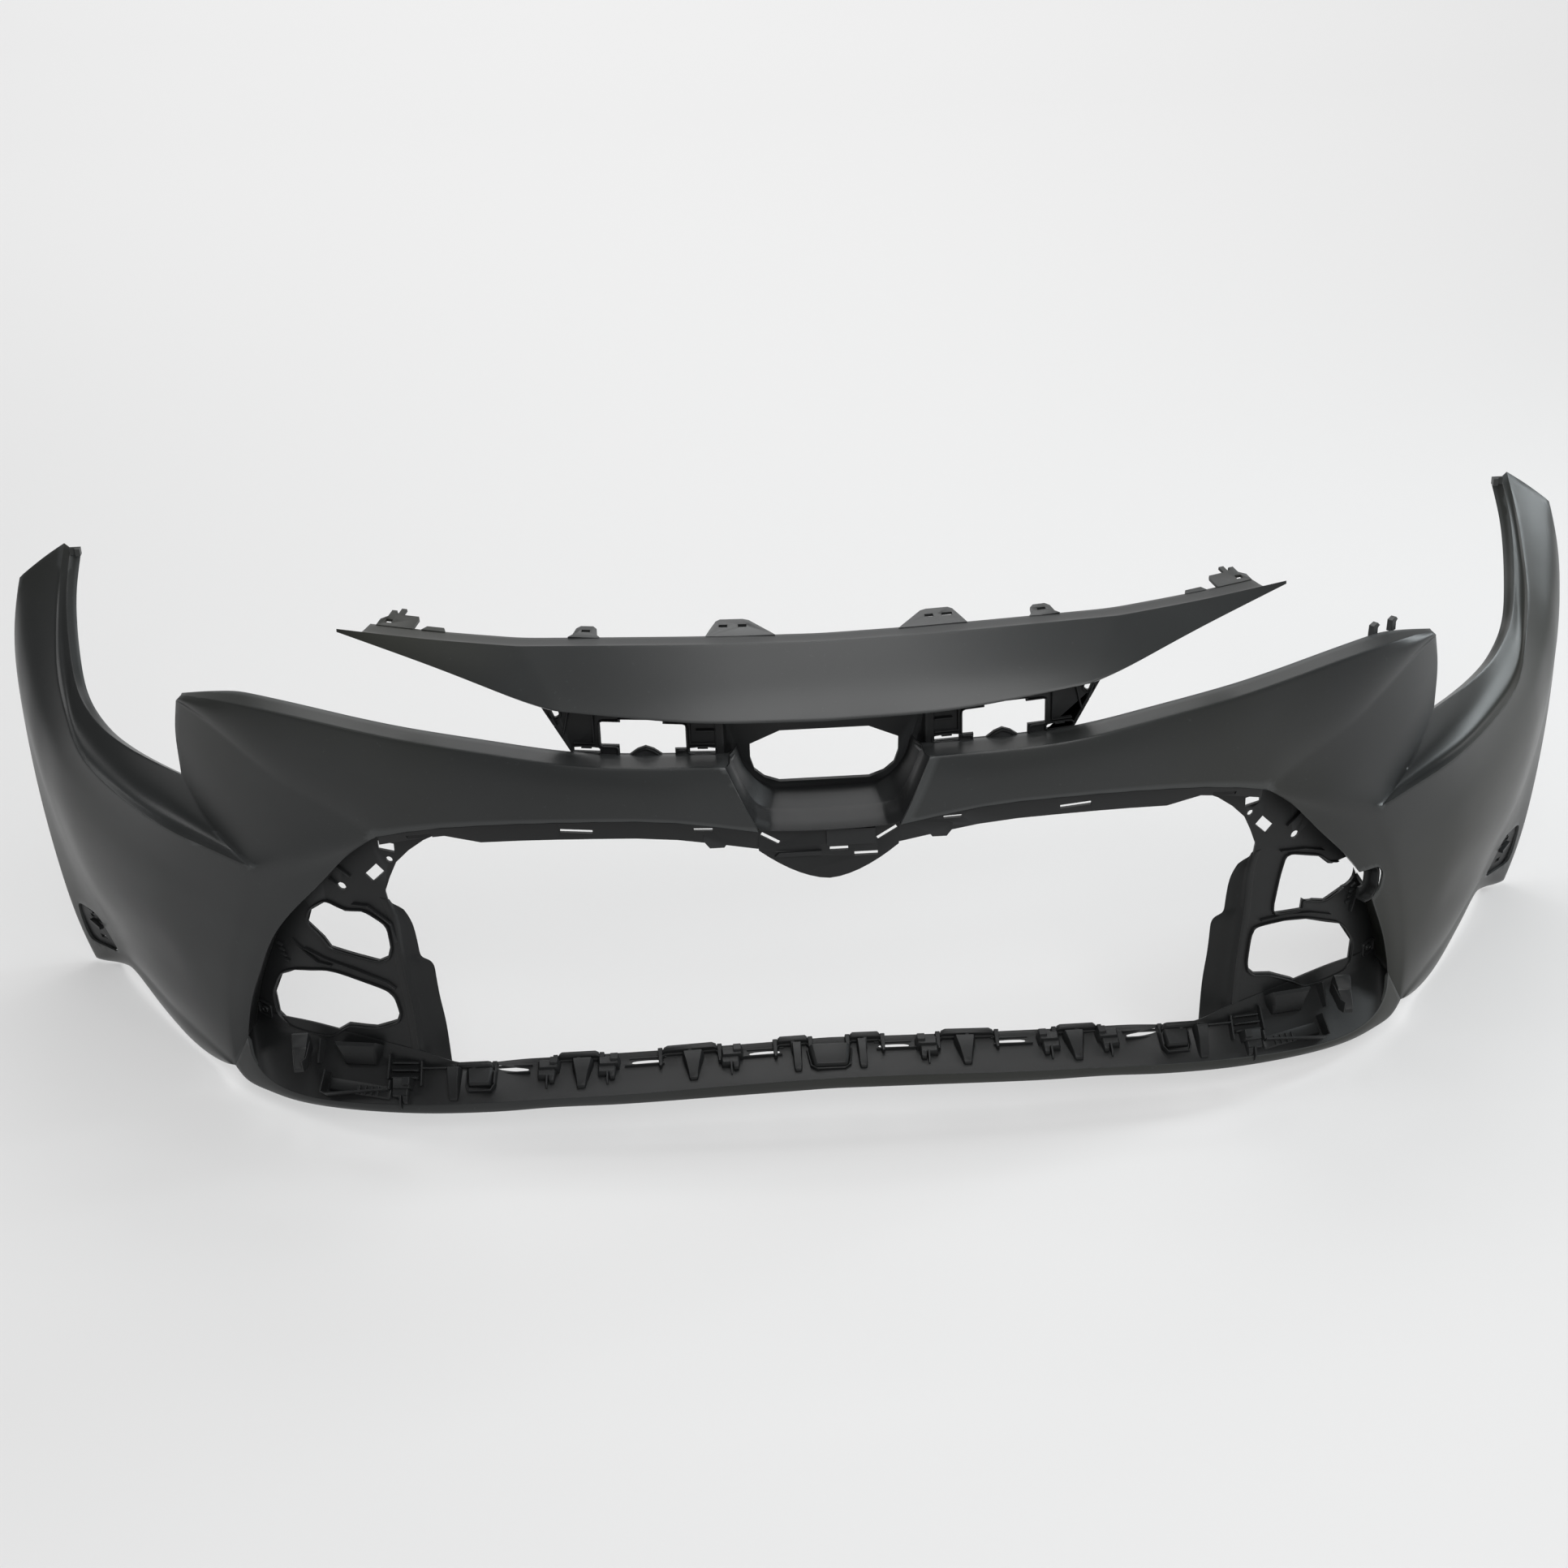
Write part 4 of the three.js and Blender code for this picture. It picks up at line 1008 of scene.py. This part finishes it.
def make_fog_details(side, lamp, grille, name):
    made = Solids()
    for loop in (lamp, grille):
        ring = rounded_loop(grown(loop, 2.2), 3)
        made.bead(path_on_panel(ring, side), plan_normal, 2.2, 3.0, True)
    upper, bars = fog_bars(side)
    made.bead(path_on_panel(upper, side), plan_normal, 2.0, 4.0)
    for bar in bars:
        made.bead(path_on_panel(bar, side), plan_normal, 2.2, 3.5)
    made.bead(path_on_panel(circle(619, 31, 3, 12), side), plan_normal, 2.0, 3.5, True)
    square = rounded_loop([(611, 23), (627, 23), (627, 39), (611, 39)], 2, 0.2)
    made.bead(path_on_panel(square, side), plan_normal, 2.0, 3.0, True)
    for k in range(4):
        x, z = 592 - 2 * k, 130 - 6 * k
        tooth = [(x, z), (x - 6, z - 2)]
        made.bead(path_on_panel(tooth, side), plan_normal, 2.4, 3.0)
    obj = moulding(made, name, RIM_EDGE)
    if side > 0:
        cut(obj, notch_cutter(NOTCH_PANEL, PANEL_CUT))


# ------------------------------------------------------------------ ledge behind the lip

def eased(x, low, high):
    """0 below the range, 1 above it, with a smooth change between."""
    t = max(0.0, min(1.0, (x - low) / (high - low)))
    return t * t * (3 - 2 * t)


def ledge_rear(x):
    """The rear edge of the ledge: an arc in the middle, the fog lamp panel's foot at the ends."""
    blend = max(0.0, min(1.0, (x - 340) / 90))
    arc = 127 + 0.00009 * x * x
    reach = arc * (1 - blend) + (plan(x) + FOG_DEPTH - PANEL_GAP) * blend
    rise = 25 - 12 * min(1, x / 330) + 9 * eased(x, 330, 420) - 12 * eased(x, 540, 640)
    return V(x, reach, rise)


LEDGE_SAG = 2.5
SAG_REACH = 30  # a ledge narrower than this sags less
TURNED_STEPS = 6  # the lip line's first steps run round the corner, clear of all that stands here


def ledge_row(t):
    row = []
    for p in lip_crease:
        q = ledge_rear(p.x)
        point = p.lerp(q, t)
        point.z -= LEDGE_SAG * 4 * t * (1 - t) * min(1.0, (q - p).length / SAG_REACH)
        row.append(point)
    return row


def ledge_frame(x, t):
    """Origin, along, inwards and up at a place on the right half of the ledge."""
    for before, after in zip(lip_crease[TURNED_STEPS:], lip_crease[TURNED_STEPS + 1:]):
        if after.x <= x <= before.x:
            break
    w = (before.x - x) / (before.x - after.x)
    front = before.lerp(after, w)
    rear = ledge_rear(x)
    place = front.lerp(rear, t)
    place.z -= LEDGE_SAG * 4 * t * (1 - t)
    along = (before - after).normalized()
    inwards = (rear - front).normalized()
    up = along.cross(inwards).normalized()
    inwards = up.cross(along).normalized()
    return place, (along, inwards, up)


class LedgeSolids(Solids):
    """Solids placed on the ledge at x (either side of the middle) and t, from lip to rear."""

    side = 1

    def place(self, x, t, points):
        origin, (along, inwards, up) = ledge_frame(abs(x), t)
        out = []
        for a, b, c in points:
            p = origin + along * a + inwards * b + up * c
            out.append(V(self.side * p.x, p.y, p.z))
        return out

    def hump(self, x, t, stations, turn=0.0):
        """A rounded ridge through stations of (inwards, width, height)."""
        cosine, sine = math.cos(turn), math.sin(turn)
        rings = []
        for b, w, h in stations:
            profile = [(-w / 2, -2), (-w / 2 * 0.94, h * 0.7), (-w / 2 * 0.8, h),
                       (w / 2 * 0.8, h), (w / 2 * 0.94, h * 0.7), (w / 2, -2)]
            ring = [(a * cosine - b * sine, a * sine + b * cosine, c) for a, c in profile]
            rings.append(self.place(x, t, ring))
        self.loft(rings)

    def ridge(self, x, t, path, width, height):
        """A narrow bead along a path of (along, inwards) points."""
        origin, (along, inwards, up) = ledge_frame(abs(x), t)
        points = [V(self.side * p.x, p.y, p.z) for p in
                  [origin + along * a + inwards * b for a, b in path]]
        rise = V(self.side * up.x, up.y, up.z)
        self.bead(points, lambda p: rise, width, height)


PADS = [(39, 38), (150, 64), (270, 50), (382, 44)]  # (place, width) along the ledge
RIBS = [(147, 24, 10), (267, 24, 10), (35, 11, 8), (404, 15, 10)]  # (place, wide end, narrow end)
CLIPS = (105, 238, 303)
SLOTS = (70, 197, 342)
SLOT_ROW = 0.84
GUSSETS = (8, 420)  # only the pad edges between these have a gusset


def add_pad(made, x, width):
    """A stop on the rear edge: a web at its middle, an arched bead, a gusset at each edge."""
    half = width / 2
    made.hump(x, 1.0, [(3, width - 4, 9), (-1, width - 2, 9.5), (-3, width, 7)])
    made.hump(x, 1.0, [(0, 5, 8), (-5, 4.5, 6), (-14, 3.5, 2.5)])
    arch = [(-half, -20), (-half, -8), (-half + 5, -3), (half - 5, -3), (half, -8), (half, -20)]
    made.ridge(x, 1.0, arch, 3.0, 3.2)
    for edge in (x - half, x + half):
        if GUSSETS[0] < edge < GUSSETS[1]:
            made.hump(edge, 1.0, [(1, 6, 8), (-6, 5, 5.5), (-18, 4, 2)])


def add_rib(made, x, wide, narrow):
    made.hump(x, 0.62, [
        (16, wide, 11), (12, wide * 0.98, 12), (0, (wide + narrow) / 2, 9.5),
        (-12, narrow * 1.15, 6), (-18, narrow, 4.2), (-20, narrow * 0.7, 1.5),
    ])


def add_clip(made, x, t):
    """A clip seat: cross bar, back plate, raised block, its foot and a thin rib."""
    made.hump(x, t, [(11, 25, 9), (9, 25, 10), (0, 23, 10), (-1, 23, 6)])
    made.hump(x + 2, t, [(1, 21, 7), (-8, 20, 6.5), (-10, 19, 3)])
    made.hump(x - 6, t, [(12, 10, 13), (4, 10, 12.5), (2, 9, 6)])
    made.hump(x - 4, t, [(-8, 7, 7), (-14, 6, 5), (-16, 5, 2)])
    made.hump(x + 1, t, [(-8, 2.6, 8), (-18, 2.2, 5), (-22, 2, 1)])


def furnish_middle(made):
    for x, width in PADS:
        add_pad(made, x, width)
    for x, wide, narrow in RIBS:
        add_rib(made, x, wide, narrow)
    for x in CLIPS:
        add_clip(made, x, 0.72)
    for x in SLOTS:
        made.ridge(x, SLOT_ROW, [(-21, 4.5), (19, 4.5)], 1.8, 2.2)
        made.ridge(x, SLOT_ROW, [(-19, -5), (24, -5)], 1.8, 2.6)
    made.hump(376, 0.7, [(12, 30, 8), (9, 30, 10), (-8, 26, 10), (-10, 25, 7)])
    fence = [(-16, 13), (-16, -8), (-12, -15), (12, -15), (15, -8), (15, 13)]
    made.ridge(376, 0.7, fence, 2.2, 5.5)
    made.ridge(424, 0.9, [(-14, 2), (14, 2)], 2.2, 7)


def furnish_end(made):
    """Under the fog lamp: louvre, hooked clip, long pocket with a ribbed block, bracket, boss."""
    for shift in (-9, -1, 7):
        made.hump(456, 0.8, [(shift + 2.2, 34, 5), (shift, 34, 8.5), (shift - 1.2, 34, 7.5)])
    for edge in (-18, 18):
        made.hump(456 + edge, 0.8, [(12, 2.4, 8), (-14, 2.4, 6)])
    add_clip(made, 460, 0.38)
    made.ridge(508, 0.42, [(-38, -8), (38, -16), (44, -14), (42, 10)], 3.0, 11)
    made.ridge(508, 0.42, [(-38, -8), (-38, 2)], 3.0, 9)
    made.hump(508, 0.3, [(6, 80, 4), (3, 80, 5), (-6, 80, 4), (-8, 78, 2)], 0.1)
    for k in range(4):
        made.hump(488 + 7 * k, 0.26, [(5, 4, 7), (-5, 4, 6)], 0.1)
    made.hump(505, 0.98, [(4, 62, 22), (0, 56, 21), (-8, 46, 12), (-16, 40, 3)])
    made.hump(575, 0.7, [
        (20, 22, 20), (16, 22, 21), (4, 18, 15), (2, 18, 12.5), (-12, 14, 9), (-20, 11, 3),
    ])
    made.ridge(575, 0.7, [(-10, 18), (-8, -14), (-4, -20)], 2.0, 13)
    made.hump(552, 0.8, [(12, 3, 12), (-14, 3, 5)])


def make_ledge_shelf():
    rows = [ledge_row(t) for t in (0, 0.05, 0.2, 0.4, 0.6, 0.8, 0.93, 1.0)]
    top = []
    for p in rows[-1]:
        end = eased(p.x, 395, 440)
        top.append(p + V(0, 1.5 * (1 - end) - 0.8 * end, 3.5 + 14 * end))
    near = [p.lerp(q, 0.35) + V(0, -1.2, -0.6) for p, q in zip(rows[-1], top)]
    rows[-1] = [p + V(0, -1.8, 0.8) for p in rows[-1]]
    sheet = Sheet()
    sheet.grid(rows + [near, top], (0, -0.2, 1), True)
    sheet.crease(lip_crease, 0.6)
    obj = piece("ledge_shelf", sheet.mesh("ledge_shelf"), inner_finish,
                ["ledge_middle"] + pairs("ledge_end"))
    subdivided(obj)
    thickened(obj)
    bake(obj)
    for x in SLOTS:
        for side in (1, -1):
            cut(obj, slot_cutter(x, side))
    bevelled(obj, INNER_EDGE, 50)


CENTRE = 0.01  # a little off zero, so that it falls inside the last step of the lip line


def make_ledge_mouldings():
    for side, name in ((1, "ledge_mouldings_right"), (-1, "ledge_mouldings_left")):
        made = LedgeSolids()
        made.side = side
        furnish_middle(made)
        furnish_end(made)
        moulding(made, name, LEDGE_EDGE, 30)
    centre = LedgeSolids()
    centre.hump(CENTRE, 0.58, [
        (14, 46, 9), (11, 47, 11), (-4, 42, 9), (-13, 38, 6), (-15, 34, 2),
    ])
    fence = [(-24, 12), (-21, -12), (-15, -17), (15, -17), (21, -12), (24, 12)]
    centre.ridge(CENTRE, 0.58, fence, 2, 3)
    moulding(centre, "ledge_centre_block", LEDGE_EDGE, 30)


def slot_cutter(x, side):
    made = LedgeSolids()
    made.side = side
    loop = rounded_loop([(-17, -2.6), (17, -2.6), (17, 2.6), (-17, 2.6)], 3, 0.4)
    made.loft([made.place(x, SLOT_ROW, [(a, b, c) for a, b in loop]) for c in (-12, 8)])
    return made.mesh("slot_cutter")


# ------------------------------------------------------------------ frames on the upper panel

WINDOW = [
    (136, 425), (147, 425), (147, 419), (160, 419), (168, 425), (176, 428), (184, 425),
    (192, 419), (202, 419), (202, 429), (220, 429), (220, 455), (200, 455), (200, 458),
    (158, 457), (158, 453), (136, 452),
]
UPPER_BARS = [
    [(226, 470), (226, 432), (246, 432)], [(132, 470), (132, 432), (108, 432)],
    [(248, 474), (256, 440)], [(108, 446), (126, 446)], [(272, 476), (262, 450)],
]


def make_upper_frames(side, name):
    made = Solids()

    def add(points, width, height, closed=False):
        path = path_on_panel(points, side, PANEL_DEPTH)
        made.bead(path, plan_normal, width, height, closed)

    add(rounded_loop(grown(WINDOW, 1.8), 2, 0.2), 2.0, 2.2, True)
    for x, z in ((120, 424), (234, 424)):
        box = grown([(x - 13, z - 3), (x + 13, z - 3), (x + 13, z + 3), (x - 13, z + 3)], 2.0)
        add(rounded_loop(box, 2, 0.3), 1.8, 3.0, True)
        add([(x - 5, z + 3.4), (x + 5, z + 3.4)], 3.0, 3.5)
    for bar in UPPER_BARS:
        add(bar, 2.0, 4.0)
    add(circle(264, 462, 6.6, 14), 1.8, 1.8, True)
    moulding(made, name, RIM_EDGE)


# ------------------------------------------------------------------ camera, light, floor

CAMERA_PLACE = (-0.12745, -2.47038, 1.57487)
CAMERA_RIGHT = Vector((0.997981, -0.055232, -0.031343))
CAMERA_DOWN = Vector((-0.053102, -0.455078, -0.888867))
CAMERA_FORWARD = Vector((0.034831, 0.888737, -0.457092))
SENSOR, FOCAL_LENGTH = 36, 59.63


def make_camera():
    data = bpy.data.cameras.new("camera")
    data.sensor_width = SENSOR
    data.lens = FOCAL_LENGTH
    data.clip_end = 50
    obj = bpy.data.objects.new("camera", data)
    turn = Matrix((CAMERA_RIGHT, -CAMERA_DOWN, -CAMERA_FORWARD)).transposed().to_4x4()
    obj.matrix_world = Matrix.Translation(CAMERA_PLACE) @ turn
    bpy.context.scene.collection.objects.link(obj)
    bpy.context.scene.camera = obj


def lamp(name, place, aim, size, power, colour=(1, 1, 1)):
    data = bpy.data.lights.new(name, "AREA")
    data.shape = "RECTANGLE"
    data.size, data.size_y = size
    data.energy = power
    data.color = colour
    obj = bpy.data.objects.new(name, data)
    obj.location = place
    obj.rotation_euler = (Vector(aim) - Vector(place)).to_track_quat("-Z", "Y").to_euler()
    bpy.context.scene.collection.objects.link(obj)


WORLD_LIGHT, WORLD_SEEN = 0.08, 0.62


def make_world():
    """A pale world that lights the part much less than it shows."""
    world = bpy.data.worlds.new("studio")
    bpy.context.scene.world = world
    world.use_nodes = True
    tree = world.node_tree
    shade = tree.nodes["Background"]
    shade.inputs["Color"].default_value = (1, 1, 1, 1)
    seen = node(tree, "ShaderNodeLightPath").outputs["Is Camera Ray"]
    strength = ranged(tree, seen, target=(WORLD_LIGHT, WORLD_SEEN))
    tree.links.new(strength, shade.inputs["Strength"])
    bpy.context.scene.view_settings.view_transform = "Standard"


def make_lamps():
    lamp("key", (0.6, -2.7, 2.5), (0.1, 0, 0.4), (2.4, 1.1), 72)
    lamp("top", (0.1, 0.0, 2.6), (0, 0, 0.3), (3.6, 1.0), 52)
    lamp("rear", (0.3, 2.6, 2.6), (0.1, 0, 0.45), (3.4, 0.7), 25)
    lamp("right", (2.6, 0.7, 1.3), (0.75, 0, 0.4), (0.5, 1.6), 30, (0.90, 0.97, 1.0))
    lamp("left", (-2.6, 0.2, 2.5), (-0.7, 0, 0.4), (0.8, 1.6), 16)
    lamp("backdrop", (0, 3.4, 4.4), (0, 7.5, 1.2), (8, 1.5), 420)


FLOOR_CELLS, FLOOR_HALF = 24, 9
FLOOR_DROP = 0.002
SWEEP_START, SWEEP_CURVE = 4.5, 0.18
FLOOR_GLOW = 0.42
FLOOR_TONES = (0.30, 0.32)


def floor_paint():
    material = bpy.data.materials.new("floor_paint")
    material.use_nodes = True
    tree = material.node_tree
    shader = tree.nodes["Principled BSDF"]
    shader.inputs["Roughness"].default_value = 0.9
    shader.inputs["Emission Color"].default_value = (1, 1, 1, 1)
    shader.inputs["Emission Strength"].default_value = FLOOR_GLOW
    shader.inputs["Specular IOR Level"].default_value = 0.1
    mottle = node(tree, "ShaderNodeTexNoise", Scale=3.0)
    tone = ranged(tree, mottle.outputs["Fac"], target=FLOOR_TONES)
    tree.links.new(tone, shader.inputs["Base Color"])
    return material


def make_floor():
    """A pale floor that sweeps up behind the part."""
    bm = bmesh.new()
    bmesh.ops.create_grid(bm, x_segments=FLOOR_CELLS, y_segments=FLOOR_CELLS, size=FLOOR_HALF)
    for v in bm.verts:
        rise = max(0.0, v.co.y - SWEEP_START)
        v.co.z = -FLOOR_DROP + rise * rise * SWEEP_CURVE
    mesh = bpy.data.meshes.new("floor")
    bm.to_mesh(mesh)
    bm.free()
    mesh.shade_smooth()
    mesh.materials.append(floor_paint())
    floor = bpy.data.objects.new("floor", mesh)
    bpy.context.scene.collection.objects.link(floor)


make_camera()
make_world()
make_lamps()
make_floor()
make_nose()
make_front()
make_carried()
make_funnel()
make_jambs()
make_column(1, "grille_wall_right")
make_column(-1, "grille_wall_left")
make_fog_details(1, LAMP_RIGHT, GRILLE_RIGHT, "fog_rims_right")
make_fog_details(-1, LAMP_LEFT, GRILLE_LEFT, "fog_rims_left")
make_ledge_shelf()
make_ledge_mouldings()
make_upper_frames(1, "upper_frames_right")
make_upper_frames(-1, "upper_frames_left")
make_notch_rim()
